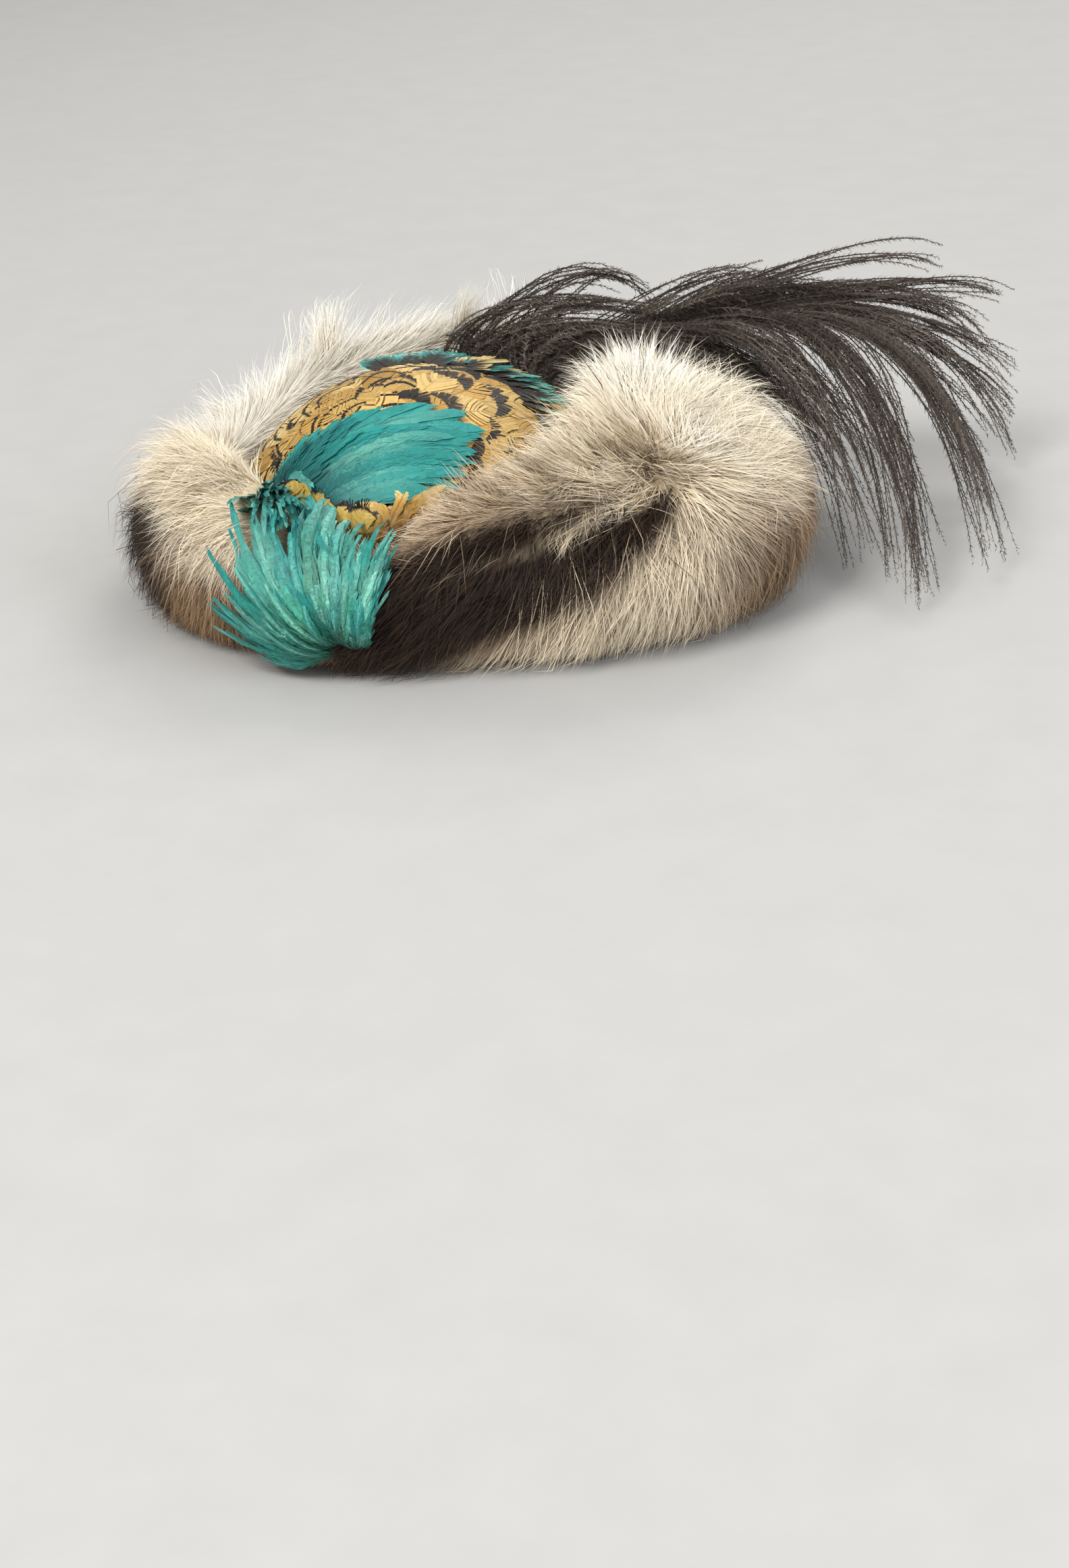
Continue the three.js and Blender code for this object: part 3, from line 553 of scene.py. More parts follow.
def marking(points, line, soft):
    """1 on a marking and 0 off it; line holds places on the roll, each with a half width in mm."""
    stations = [(roll_point(bearing, around), width * MM) for bearing, around, width in line]
    nearest = np.full(len(points), 1e9)
    for (one, one_width), (other, other_width) in zip(stations, stations[1:]):
        run = other - one
        share = np.clip((points - one) @ run / (run @ run), 0, 1)
        away = np.linalg.norm(points - one - share[:, None] * run, axis=-1)
        nearest = np.minimum(nearest, away - lerp(one_width, other_width, share))
    return ease(nearest, soft / 2, -soft / 2)


def banded(points, softness):
    """1 on either dark band and 0 off both."""
    lines = zip((UPPER_BAND, LOWER_BAND), softness)
    return np.maximum(*(marking(points, line, soft) for line, soft in lines))


def fur_colours(bearing, around, points, left, luck):
    """The colours of hairs at root, middle and tip, from where they show; luck sets single hairs apart."""
    turned = np.where(bearing < -180, bearing + 360, bearing)
    blotch = ripple(bearing, around, BLOTCH_SIZE, 5)
    behind = ease(bearing, -168, -190) if left else ease(turned, 25, 65)
    along, up = ((x - middle) / span for x, middle, span in zip((turned, around), HUMP, HUMP_SPREAD))
    hump = np.exp(-(along**2) - up**2) * (not left)
    layers = [(np.clip(behind + hump, 0, 1), SILVER * 0.85, lerp(SILVER, CHALK, 0.5), CHALK)]
    if left:
        low = ease(around + 6 * blotch, 24, -6) * ease(bearing, -215, -190)
        outer = ease(around + 5 * blotch, 34, 16) * ease(bearing - 3 * blotch, -131, -140)
        outer = outer * ease(bearing, -230, -185)
        layers += [(low, TAUPE * 0.7, TAUPE, TAN), (outer, BLACKISH, lerp(BLACKISH, BROWN, 0.4), BLACKISH)]
    else:
        low = ease(around + 8 * blotch, 20, -40) * 0.3
        # painted light, in part: paler hair round the whorl lightens the shade in its hollow and its dark
        # roots
        parting = near_whorl(turned, around, WHORL_PAINTED_LIGHT_SPAN)
        front = ease(turned, -54, -72) * ease(around, 34, 52)
        rim = ease(around + 6 * blotch, 32, 0) * ease(turned, -44, -24) * ease(turned, 60, 20)
        ridge = marking(points, PALE_RIDGE, 5 * MM)
        halo = banded(points, HALO_SOFTNESS)
        bands = banded(points, BAND_SOFTNESS) * (1 - 0.85 * ridge)
        brownish = (luck**2)[:, None]
        in_band = lerp(BLACKISH, BROWN, 0.5 * brownish), lerp(BLACKISH, BROWN, brownish)
        ticked = (luck > TICKED_FROM) * (1 - bands)
        layers += [
            (low, BLONDE * 0.6, TAN, BLONDE),
            (parting, CREAM * 0.8, CREAM, CHALK),
            (front * 0.6, TAN * 0.8, TAN, BEIGE),
            (rim * 0.9, TAN * 0.8, TAN, BROWN * 0.8),
            (halo * 0.9, BROWN, lerp(TAN, BROWN, 0.4), lerp(TAN, BEIGE, 0.15)),
            (bands, BLACKISH * 0.8, *in_band),
            (ridge * 0.8, TAN, BLONDE, CREAM),
            (ticked, TAN, BROWN, BLACKISH),
        ]
    coat = [BLONDE * 0.75, lerp(BLONDE, CREAM, 0.4), lerp(BLONDE, CREAM, 0.85)]
    for share, *colours in layers:
        coat = [one + (other - one) * share[:, None] for one, other in zip(coat, colours)]
    return np.stack(coat, 1)


print("dark bands through", len(UPPER_BAND), "and", len(LOWER_BAND), "places")

# %% [markdown]
# Feathers lie on the fur at the front. Under the fan and in the crease beside the crown the hairs stay down,
# so the fan's table comes before the fur: each hackle runs from one root, low on the roll, to its own tip.

# %% Where the fan presses the fur down
FAN_HACKLES = np.array([  # root bearing and around, tip bearing and around
    (-99, -32, -119, -40), (-98, -30, -119, -18), (-98, -28, -118, 4), (-98, -26, -116, 30),
    (-97, -24, -115, 50), (-97, -22, -112, 70), (-96, -22, -105, 88), (-95, -22, -99, 92),
    (-94, -22, -92, 86), (-93, -23, -88, 66), (-93, -24, -87, 34),
], float)
FAN_ROOT = np.array([-96.0, -24.0])


def pressed(bearing, around):
    """1 where feathers lie on the fur and 0 where it is free."""
    tips = flattened(*FAN_HACKLES[::-1, 2:].T, FAN_ROOT)
    away = flattened(bearing, around, FAN_ROOT)
    angles, reaches = np.arctan2(-tips[:, 0], tips[:, 1]), np.linalg.norm(tips, axis=-1)
    turns = np.arctan2(-away[..., 0], away[..., 1])
    reach = np.interp(turns, angles, reaches, left=CLEARANCE, right=CLEARANCE)
    fan = ease(np.linalg.norm(away, axis=-1) / reach, 1.02, 0.85)
    crease = ease(bearing, -132, -122) * ease(bearing, -76, -84) * ease(around, 62, 78)
    return np.maximum(fan, crease)


print(len(FAN_HACKLES), "rows in the fan")

# %% [markdown]
# A coat is grown in one go. Roots are thrown over the unrolled pelt and kept where there is room for them,
# so that no part is crowded. Hairs that would run into the crown are pushed out of it, and in the middle of
# the whorl, where they part, they stand up and cover it.

# %% Growing a coat
PELTS = {"left": (-278, -93), "right": (-93, 82)}  # the bearings between which each one runs
PELT_END = 0.4  # degrees that are left free of roots at either end
OVERHANG = 5  # degrees by which hairs may pass the end of their pelt
MOST_CLIMB = 75
AROUND_SPAN, TOP_SPAN = (-74, 150), 34  # where hairs grow, and how far the crest's longer ones reach
SKIN_GAP = 0.6 * MM  # how far under the skin the hairs stay where feathers press on them
HAIR_GAP = 1.5 * MM  # how far hairs keep off the crown's feathers at their tips
SHOWN = 0.75  # a hair takes its colours from this far between its middle and its tip
WHORL_SPAN, WHORL_MESS = 16 * MM, 32 * MM  # where its hairs stand up, and where they are ruffled
STANDING_RISE, MOST_RISE = 1.05, 1.35  # radians between a hair and the skin
LENGTH_VARIES, RISE_VARIES = (0.75, 1.15), (0.7, 1.3)
SWIRLS = [(0.4, 24 * MM, 11), (0.35, 11 * MM, 12)]  # how much they turn the hair, their size and their seed
HAIR_DROOP = 0.06
HAIR_FLOOR = (0.4 * MM, 1.2 * MM)  # how far hairs keep off the floor at the root, and more at the tip
SIDE_REACH, TOP_REACH = 9 * MM, 26 * MM  # how far hairs may stand off the skin
COATS = {  # count, length, lift, width and tuft size in mm, stations, pull to the tuft, stray, share in wisps
    "down": (26000, 17, 0.48, 0.38, 4, 3, 0.5, 0.35, 0.0),
    "coat": (62000, 25, 0.37, 0.36, 8, 3, 0.7, 0.2, 0.05),
    "guard_hairs": (11500, 37, 0.46, 0.26, 9, 4, 0.6, 0.26, 0.16),
}
thin = 1.0


def clear_of_crown(points, room):
    """Moves points that lie inside the dress of the crown out to its surface."""
    half = np.array([CROWN_HALF[0], CROWN_HALF[1], CROWN_RISE]) + room
    away = points - crown_centre - CROWN_BAND * UP
    depth = np.linalg.norm(away / half, axis=-1, keepdims=True)
    push = np.where((depth < 1) & (away[..., 2:] > 0), 1 / np.maximum(depth, 0.3), 1)
    return crown_centre + CROWN_BAND * UP + away * push


def sow(side, count, dice):
    """Roots spread evenly over a pelt: bearing and around of each."""
    start, end = PELTS[side]
    bearing = dice.uniform(start + PELT_END, end - PELT_END, 4 * count)
    around = dice.uniform(*AROUND_SPAN, 4 * count)
    _, per_ring, per_rise = roll_frame(bearing, around)
    room = per_ring * per_rise
    kept = dice.random(4 * count) * np.quantile(room, 0.97) < room
    return bearing[kept][:count], around[kept][:count]


def turned_by(lie, swing):
    c, s = np.cos(swing), np.sin(swing)
    return np.stack([lie[:, 0] * c - lie[:, 1] * s, lie[:, 0] * s + lie[:, 1] * c], -1)


def hair_shape(bearing, around, left, length, lift, wisps, luck, dice):
    """Each hair's length and the angle at which it leaves the skin."""
    top = np.exp(-(((around - CREST_AROUND) / TOP_SPAN) ** 2))
    standing = near_whorl(bearing, around, WHORL_SPAN) * (not left)
    behind = ease(bearing, -160, -195) if left else ease(bearing, 45, 70)
    inside = ease(around, 96, 122) * (1 if left else ease(bearing, -40, -60) + behind)
    long = length * dice.uniform(*LENGTH_VARIES, len(bearing)) * (0.8 + 0.4 * luck[:, 1])
    long = long * (1 + 0.14 * ripple(bearing, around, 18 * MM, 14)) * (1 - 0.7 * pressed(bearing, around))
    band = ease(bearing, -35, -60) * (not left)
    wisp = (luck[:, 0] > 1 - wisps) * top * (0.4 + 0.6 * behind)
    long = long * (1 - 0.15 * standing) * (1 - 0.5 * inside) * (1 - 0.2 * band) * (1 + 0.5 * wisp)
    rise = lift * dice.uniform(*RISE_VARIES, len(bearing)) * (0.75 + 0.6 * top) * (0.8 + 0.4 * luck[:, 2])
    rise = rise * (1 + 0.2 * behind * top + 0.3 * band) + 0.6 * wisp
    return long, lerp(rise, STANDING_RISE, 0.75 * standing).clip(0, MOST_RISE)


def grow(side, coat, seed):
    """A coat of hairs as strips, with the sizes of its row in COATS."""
    count, length, lift, width, tuft, stations, pull, stray, wisps = COATS[coat]
    dice = np.random.default_rng(seed)
    left = side == "left"
    bearing, around = sow(side, int(count * thin), dice)
    n = len(bearing)
    normal, per_ring, per_rise = roll_frame(bearing, around)
    to_tuft, luck = tufts(bearing, around, tuft * MM, seed + 1)
    swing = sum(turn * ripple(bearing, around, size, number) for turn, size, number in SWIRLS)
    mess = 2.2 * ripple(bearing, around, 13 * MM, 13) + dice.normal(0, 0.5, n)
    swing = swing + near_whorl(bearing, around, WHORL_MESS) * mess
    swing = swing + 0.7 * (luck[:, 0] - 0.5) + dice.normal(0, stray, n)
    lie = turned_by(fur_lie(bearing, around, left), swing)
    long, rise = hair_shape(bearing, around, left, length * MM, lift, wisps, luck, dice)
    t = np.linspace(0, 1, stations)
    run = long * np.cos(rise)
    start, end = PELTS[side]
    ring = bearing[:, None] + np.outer(lie[:, 0] * run / per_ring, t) + np.outer(to_tuft[:, 0] * pull, t**1.5)
    ring = np.clip(ring, start - OVERHANG, end + OVERHANG)
    climb = np.outer(lie[:, 1] * run / per_rise.clip(0.35 * MM), t) + np.outer(to_tuft[:, 1] * pull, t**1.5)
    section = around[:, None] + np.clip(climb, -MOST_CLIMB, MOST_CLIMB)
    off = -FUR_DEPTH + np.outer(long * np.sin(rise), t**1.25)
    reach = lerp(SIDE_REACH, TOP_REACH, np.clip(np.sin(np.radians(section)), 0, 1) ** 2)
    off = np.where(off > 0, reach * np.tanh(off / reach), off)
    off = np.minimum(off, lerp(TOP_REACH, -SKIN_GAP, pressed(ring, section)))
    paths = clear_of_crown(roll_point(ring, section, off), CROWN_SKIN + HAIR_GAP * t[None, :, None])
    drooped = paths[..., 2] - np.outer(long, t**2) * HAIR_DROOP
    paths[..., 2] = np.maximum(drooped, HAIR_FLOOR[0] + HAIR_FLOOR[1] * t)
    heading = unit(paths[:, -1] - paths[:, 0])
    spin = dice.normal(0, 0.5, n)[:, None]
    flat = unit(np.cross(heading, normal))
    sides = flat * np.cos(spin) + np.cross(heading, flat) * np.sin(spin)
    widths = width * MM * dice.uniform(0.7, 1.3, n)[:, None] * np.interp(t, [0, 0.5, 1], [0.8, 1.0, 0.0])
    shown = lerp(paths[:, stations // 2], paths[:, -1], SHOWN)
    place = (lerp(bearing, ring[:, -1], SHOWN), lerp(around, section[:, -1], SHOWN))
    colours = fur_colours(*place, shown, left, dice.random(n))
    stops = np.stack([lerp(colours[:, 0], colours[:, 1], 2 * share) if share < 0.5 else
                      lerp(colours[:, 1], colours[:, 2], 2 * share - 1) for share in t], 1)
    shade = (dice.normal(1.0, 0.09, n) * (0.86 + 0.26 * luck[:, 1]))[:, None, None]
    return strips(paths, sides, widths, np.clip(stops * shade, 0.004, 0.95))


print({coat: int(row[0] * thin) for coat, row in COATS.items()}, "hairs on each pelt")

# %% [markdown]
# Under the hairs lies a closed tube, which stands for the hide and the soft filling that it is padded with.
# It is drawn in from the roll's skin, and more so at the ends of the pelt, so that no bare end shows. Each
# side's hide comes first, and then its three coats.

# %% The hides and the coats on them
HIDE_RINGS, HIDE_TURNS, HIDE_END = 120, 40, 0.15
HIDE_FILL = [0, 0.01, 0.03, 0.08], [0.4, 0.58, 0.7, 0.78]  # shares of the way from an end, and of the section
FUR_SHADE = (0.03, 0.024, 0.018)


def hide(side):
    """The body that the hairs grow on: a closed tube just under the skin."""
    start, end = PELTS[side]
    rings, turns = HIDE_RINGS, HIDE_TURNS
    share = np.linspace(0, 1, rings)
    bearing = lerp(start + HIDE_END, end - HIDE_END, share)[:, None]
    around = np.linspace(-180, 180, turns, endpoint=False)[None]
    fill = np.interp(np.minimum(share, 1 - share), *HIDE_FILL)[:, None]
    points = roll_point(bearing, around, 0.0, fill)
    place = [np.broadcast_to(x, (rings, turns)).ravel() for x in (bearing, around)]
    colours = fur_colours(*place, points.reshape(-1, 3), side == "left", np.full(rings * turns, 0.5))
    grid, beside, quads = lattice(rings, turns)
    ends = np.array([points[0].mean(0), points[-1].mean(0)])
    tris = np.concatenate([
        np.stack([grid[0], beside[0], np.full(turns, rings * turns)], -1),
        np.stack([beside[-1], grid[-1], np.full(turns, rings * turns + 1)], -1),
    ])
    tint = np.concatenate([colours[:, 0] * 0.6 + colours[:, 1] * 0.3, colours[:2, 0]])
    cell = np.stack(np.meshgrid(np.arange(turns) / turns, share), -1).reshape(-1, 2)
    cell = np.concatenate([cell, [(0.5, 0.0), (0.5, 1.0)]])
    return {"points": np.concatenate([points.reshape(-1, 3), ends]), "quads": quads, "tris": tris,
            "tint": tint, "cell": cell, "strip": np.zeros(len(tint), int)}


def fur_finish():
    finish = Finish("long_fur", Roughness=0.55, Specular_IOR_Level=0.2)
    streak = finish.noise(finish.place(), 900.0, 2.0)
    return finish.set("Base Color", finish.mix(streak * 0.2, finish.attribute("tint", "Color"), FUR_SHADE))


fur = fur_finish()
for seed, (side, node) in enumerate((("left", "fur_roll_left"), ("right", "fur_roll_right"))):
    build(f"fur_{side}_hide", hide(side), fur, [node])
    for layer, coat in enumerate(COATS):
        build(f"fur_{side}_{coat}", grow(side, coat, 21 + seed + 10 * layer), fur)

# %% [markdown]
# The felt under it all shows only inside the hat, where it is plain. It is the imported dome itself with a
# better surface: wool fibres pressed flat, which show as a fine cloudy grain.

# %% Felt of the crown


def felt_finish():
    finish = Finish("wool_felt", Roughness=0.92, Sheen_Weight=0.3, Sheen_Roughness=0.6,
                    Specular_IOR_Level=0.2)
    where = finish.place()
    cloud = finish.noise(where, 60.0)
    fibre = finish.noise(where, 1400.0, 4.0, 0.7)
    finish.set("Base Color", finish.mix(cloud * 0.6 + fibre * 0.4, paint("#57493a"), paint("#6f5f4d")))
    return finish.bump(fibre, 0.5, 0.4 * MM)


felt = felt_finish()
crown_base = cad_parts["crown_base"]
crown_base.data.materials.clear()
crown_base.data.materials.append(felt.material)
print("felt on", crown_base.name)

# %% [markdown]
# A feather is a shaft with a row of barbs on each side, all lying in one surface. So each one is drawn flat
# first, in shares of its half width and of its length, and then that flat drawing is laid on the path of its
# shaft. Barbs are strips like the hairs, a little wider than the step between them, so they close into a vane
# and fray at its edge. They keep their flat place in an attribute called vane, and the finish reads bars,
# crescents and dark tips from it. A picture of a feather would be quicker, but it would have no barbs in it.

# %% A feather from its barbs
BARB_STATIONS = np.array([0, 0.45, 0.9, 1.0])
BARB_SCATTER, CLUMP = 0.05 * MM, (3, 7)  # off the vane's surface, and how many barbs cling together
QUILL_RISE, QUILL_WIDTHS = 0.15 * MM, (0.7 * MM, 0.2 * MM)
BARS = 3.8  # in a feather's length
CRESCENT_PLACE, CRESCENT_WIDTH, CAP_PLACE = 0.82, 0.12, (0.84, 0.92)  # in shares of its length
SHEEN = 0.04


def rounded(y):
    """A vane's half width along its length, for a broad feather with a round tip."""
    widening = 0.5 + 0.5 * np.sin(np.pi * np.clip(y, 0, 1) / 1.24)
    return np.where(y < 0.62, widening, np.sqrt(np.clip(1 - ((y - 0.62) / 0.4) ** 2, 0, 1)))


def pointed(y):
    widening = 0.35 + 0.65 * np.sin(np.pi * np.clip(y, 0, 1) / 0.76)
    return np.where(y < 0.38, widening, np.clip(1 - (y - 0.38) / 0.64, 0, 1) ** 0.85)


def trimmed(y):
    return 0.5 + 0.5 * np.clip(y, 0, 1) ** 0.7


def lay(x, y, shaft, face, half_width, cup):
    """The flat drawing's points (x across, y along) laid on the shaft's path."""
    flat_y = y.ravel()
    ahead = unit(shaft(flat_y + 0.02) - shaft(flat_y - 0.02))
    side = unit(np.cross(ahead, face(flat_y)))
    out = np.cross(side, ahead)
    across = x.ravel()[:, None]
    points = shaft(flat_y) + side * across * half_width - out * across**2 * cup
    return points.reshape(*x.shape, 3), out.reshape(*x.shape, 3)


def barb_row(hand, luck, shaft, face, half_width, outline, barbs, slant, dice,
             cup=0.0, fray=0.03, split=0.03, full=1.0):
    """The barbs on one side of a shaft; some in a row cling together and leave a split beside them.
    slant is how far a barb runs on, in shares of the length, as it crosses the half width."""
    t = BARB_STATIONS
    length = np.linalg.norm(np.diff(shaft(np.linspace(0, 1, 9)), axis=0), axis=-1).sum()
    tip_y = np.linspace(0.1, 1.0, barbs) + dice.normal(0, 0.2 / barbs, barbs)
    clump = np.floor(np.arange(barbs) / dice.uniform(*CLUMP)).astype(int)
    reach = outline(tip_y) * (1 + dice.normal(0, fray, barbs) + dice.normal(0, split, barbs)[clump])
    root_y = np.clip(tip_y - slant * (0.35 + 0.65 * reach), 0, None)
    end_y = tip_y + dice.normal(0, split, barbs)[clump]
    x = hand * np.outer(reach, 1 - (1 - t) ** 1.35)
    y = root_y[:, None] + np.outer(end_y - root_y, t**1.15)
    paths, out = lay(x, y, shaft, face, half_width, cup)
    paths = paths + out * dice.normal(0, BARB_SCATTER, (barbs, 1, 1)) * t[None, :, None]
    taper = np.interp(t, [0, 0.9, 1], [1.3, 1.15, 0])
    width = full * length / barbs * taper * (1 + dice.normal(0, 0.12, (barbs, 1)))
    part = strips(paths, np.cross(heading_of(paths), out), width, np.zeros((barbs, 4, 3)))
    flat = np.stack([x * 0.5 + 0.5, y, np.full_like(x, luck)], -1)
    part["vane"] = np.concatenate([np.repeat(flat[:, :-1], 2, axis=1), flat[:, -1:]], 1).reshape(-1, 3)
    return part


def feather(shaft, face, half_width, outline, barbs, slant, dice, kind=(0, 0, 0), **looks):
    """One feather: a row of barbs on either hand, with looks that barb_row takes, and a quill between."""
    luck = dice.random()
    rows = [barb_row(hand, luck, shaft, face, half_width, outline, barbs, slant, dice, **looks)
            for hand in (-1, 1)]
    y = np.linspace(0, 0.97, 6)[None]
    paths, out = lay(np.zeros_like(y), y, shaft, face, half_width, 0)
    paths = paths + out * QUILL_RISE
    widths = np.linspace(*QUILL_WIDTHS, 6)[None]
    quill = strips(paths, np.cross(heading_of(paths), out), widths, np.zeros((1, 6, 3)))
    along = np.append(np.repeat(y[0, :-1], 2), 1)
    quill["vane"] = np.stack([np.full(11, 0.5), along, np.full(11, luck)], 1)
    whole = gather([*rows, quill])
    whole["kind"] = np.tile(np.asarray(kind, float), (len(whole["points"]), 1))
    return whole


def dye(part, root, middle, tip, dice, spread=0.1, streak=None):
    """Paints a feather from root to tip, each barb a little apart; streak is a paler colour by the shaft."""
    y = part["vane"][:, 1:2]
    lower, upper = lerp(root, middle, np.clip(2 * y, 0, 1)), lerp(middle, tip, np.clip(2 * y - 1, 0, 1))
    colours = np.where(y < 0.5, lower, upper)
    if streak is not None:
        by_shaft = np.exp(-(((part["vane"][:, :1] - 0.5) / 0.09) ** 2)) * dice.uniform(0, 1) ** 2
        colours = lerp(colours, streak, by_shaft * ease(y, 0.15, 0.4))
    barb = dice.normal(1, spread, part["strip"].max() + 1)[part["strip"]]
    part["tint"] = np.clip(colours * (barb * dice.normal(1, 0.08))[:, None], 0.003, 0.95)
    return part


def feather_finish(name, dark):
    """Base colour from the feather's own paint, marked by bars, a crescent or a dark tip as kind says."""
    finish = Finish(name, Roughness=0.5, Specular_IOR_Level=0.25, Sheen_Weight=SHEEN, Sheen_Roughness=0.4)
    vane, kind = finish.attribute("vane", "Vector"), finish.attribute("kind", "Vector")
    across, along, luck = (finish.add("SeparateXYZ", inputs={0: vane}, output=axis) for axis in range(3))
    barred, crescent, tipped = (finish.add("SeparateXYZ", inputs={0: kind}, output=axis) for axis in range(3))
    across = across * 2 - 1
    rough = finish.noise(finish.place(), 260.0, 3.0)
    fine = finish.noise(finish.place(), 1500.0, 2.0)
    bend = along + across * across * 0.2 + (rough - 0.5) * 0.06
    bars = (bend * BARS + luck).fraction()
    line = (bars - 0.5).absolute().step(0.14, 0.1) * rough.step(0.24, 0.3) * along.step(0.12, 0.3)
    thick = CRESCENT_WIDTH - across * across * 0.05
    band = ((bend - CRESCENT_PLACE - luck * 0.08).absolute() / thick).step(1.1, 0.95)
    cap = (bend + (fine - 0.5) * 0.12).step(*CAP_PLACE)
    marks = (line * barred).most(band * crescent).most(cap * tipped)
    shaded = finish.mix(fine.step(0.35, 0.75) * 0.25, finish.attribute("tint", "Color"), paint("#3a2412"))
    return finish.set("Base Color", finish.mix(marks.least(1.0), shaded, dark))


marked = feather_finish("barred_feathers", paint("#150d0a"))
dyed = feather_finish("dyed_feathers", paint("#06383a"))
print("finishes:", marked.material.name, dyed.material.name)

# %% [markdown]
# The crown is bedded with small body feathers of a game bird, all pointing away from one place low on its
# front, each row lapping over the one outside it like tiles. Towards the wearer's left more of the feathers
# have a thick dark crescent near the tip; on the other side most carry thin curved bars. The outermost row
# goes on first.

# %% Feathers on the crown
CROWN_ROWS = [  # tip and root as shares of the way to the crown's edge, count, half width in mm
    (1.0, 0.74, 32, 9.0), (0.92, 0.64, 30, 9.0), (0.83, 0.54, 27, 9.5), (0.73, 0.44, 24, 9.5),
    (0.63, 0.34, 21, 9.5), (0.53, 0.24, 17, 9.0), (0.43, 0.14, 13, 9.0), (0.32, 0.03, 9, 8.5),
    (0.2, -0.1, 5, 8.5),
]
FROM = np.array([-0.02, -0.42])  # the place that they point away from, in shares of the crown's half sizes
GOLD, STRAW, AMBER = paint("#b28a40"), paint("#d6bd7e"), paint("#8a6429")
MAP_SPAN = 0.2  # metres across the bed's map


def crown_bed():
    """A closed cap just under the feathers, in the colour of their fluffy roots."""
    rings, turns = 14, 48
    share = np.linspace(0.02, 1, rings)[:, None]
    turn = np.linspace(0, 2 * np.pi, turns, endpoint=False)[None]
    layers = [dome_point(share * np.cos(turn), share * np.sin(turn), off) for off in (BED_TOP, CLEARANCE)]
    under = rings * turns
    grid, beside, upper = lattice(rings, turns)
    rim = np.stack([grid[-1], grid[-1] + under, beside[-1] + under, beside[-1]], -1)
    caps = [np.stack([np.full(turns, 2 * under), grid[0], beside[0]], -1),
            np.stack([np.full(turns, 2 * under + 1), beside[0] + under, grid[0] + under], -1)]
    peaks = (layer[:1].mean(1) for layer in layers)
    points = np.concatenate([*(layer.reshape(-1, 3) for layer in layers), *peaks])
    n = len(points)
    return {"points": points, "quads": np.concatenate([upper, upper[:, ::-1] + under, rim]),
            "tris": np.concatenate(caps), "tint": np.tile(AMBER * 0.3, (n, 1)),
            "cell": points[:, :2] / MAP_SPAN + 0.5, "strip": np.zeros(n, int),
            "vane": np.tile([0.5, 0.0, 0.0], (n, 1)), "kind": np.zeros((n, 3))}


def crown_shaft(turn, twist, tip, root, lift):
    """A path over the crown, away from FROM, which bends by twist and rises by lift mm."""

    def path(t):
        share = lerp(root, tip, t)
        bent = turn + twist * (t - 0.3)
        x = FROM[0] * (1 - share) + share * np.cos(bent)
        y = FROM[1] * (1 - share) + share * np.sin(bent)
        return dome_point(x, y, BED_TOP + (0.2 + lift * t) * MM)

    return path


def upon_dome(shaft):
    return lambda t: dome_normal(shaft(t))


def crown_feathers():
    dice = np.random.default_rng(41)
    parts = [crown_bed()]
    for row, (tip, root, count, half) in enumerate(CROWN_ROWS):
        for i in range(count):
            turn = 2 * math.pi * (i + 0.5 * (row % 2)) / count + dice.normal(0, 0.05)
            twist, end = dice.normal(0, 0.14), tip + dice.normal(0, 0.015)
            shaft = crown_shaft(turn, twist, end, root, dice.uniform(0.2, 1) + 0.1 * row)
            leftish = ease(math.cos(turn), -0.1, 0.5)
            barred = dice.random() < lerp(0.7, 0.12, leftish)
            crescent = dice.random() < lerp(0.1, 0.5, leftish)
            tipped = not crescent and dice.random() < 0.2
            part = feather(shaft, upon_dome(shaft), half * dice.uniform(0.75, 1.15) * MM, rounded, 30, 0.3,
                           dice, cup=0.5 * MM, kind=(barred, crescent, tipped))
            pale = dice.random() ** 2
            middle, outer = lerp(GOLD, STRAW, pale * 0.7), lerp(GOLD, STRAW, pale)
            parts.append(dye(part, AMBER * 0.6, middle, outer, dice, 0.07))
    return gather(parts)


build("crown_plumage", crown_feathers(), marked, ["crown_feathers"])

# %% [markdown]
# Along the crown's back edge black feathers with a dyed or pale fringe come out from under the golden ones.

# %% Dark feathers at the back edge
EDGE_SPREAD = [128, 117, 106, 95, 84, 73, 62, 52, 42, 33, 24, 15, 7]
EDGE_TIPS, EDGE_LENGTH = (0.52, 0.76), 0.32  # how near the crown's edge they end, at the back and at the side
EDGE_BLACK, FRINGE = BLACKISH * 0.6, (0.76, 0.86)  # the fringe begins here, in shares of the length
TEAL, DEEP_TEAL = paint("#1c8581"), paint("#0a4549")
PALE_TEAL, SEA_GREEN = paint("#74b9a8"), paint("#30896b")


def edge_feathers():
    dice = np.random.default_rng(42)
    parts = []
    for azimuth in EDGE_SPREAD:
        for lap in range(2):
            turn = math.radians(azimuth + dice.normal(0, 3))
            tip = lerp(*EDGE_TIPS, ease(azimuth, 75, 5)) + dice.normal(0, 0.03)

            def shaft(t, turn=turn, lift=0.6 * lap, tip=tip):
                share = lerp(tip - EDGE_LENGTH, tip, t)
                rise = lerp(BED_TOP, CROWN_SKIN + (4.2 + lift) * MM, np.clip(t, 0, 1.1) ** 1.6)
                return dome_point(share * np.cos(turn), share * np.sin(turn), rise)

            fringe = [TEAL, STRAW, PALE_TEAL][dice.choice(3, p=[0.5, 0.3, 0.2])]
            part = feather(shaft, upon_dome(shaft), dice.uniform(5, 7.5) * MM, rounded, 34, 0.35, dice,
                           fray=0.12, split=0.07)
            dye(part, EDGE_BLACK, EDGE_BLACK, fringe, dice)
            across, along = part["vane"][:, :1], part["vane"][:, 1:2]
            part["tint"] = lerp(EDGE_BLACK, fringe, ease(along + 0.25 * (2 * across - 1) ** 2, *FRINGE))
            parts.append(part)
    return gather(parts)


build("edge_plumage", edge_feathers(), dyed, ["edge_feathers"])

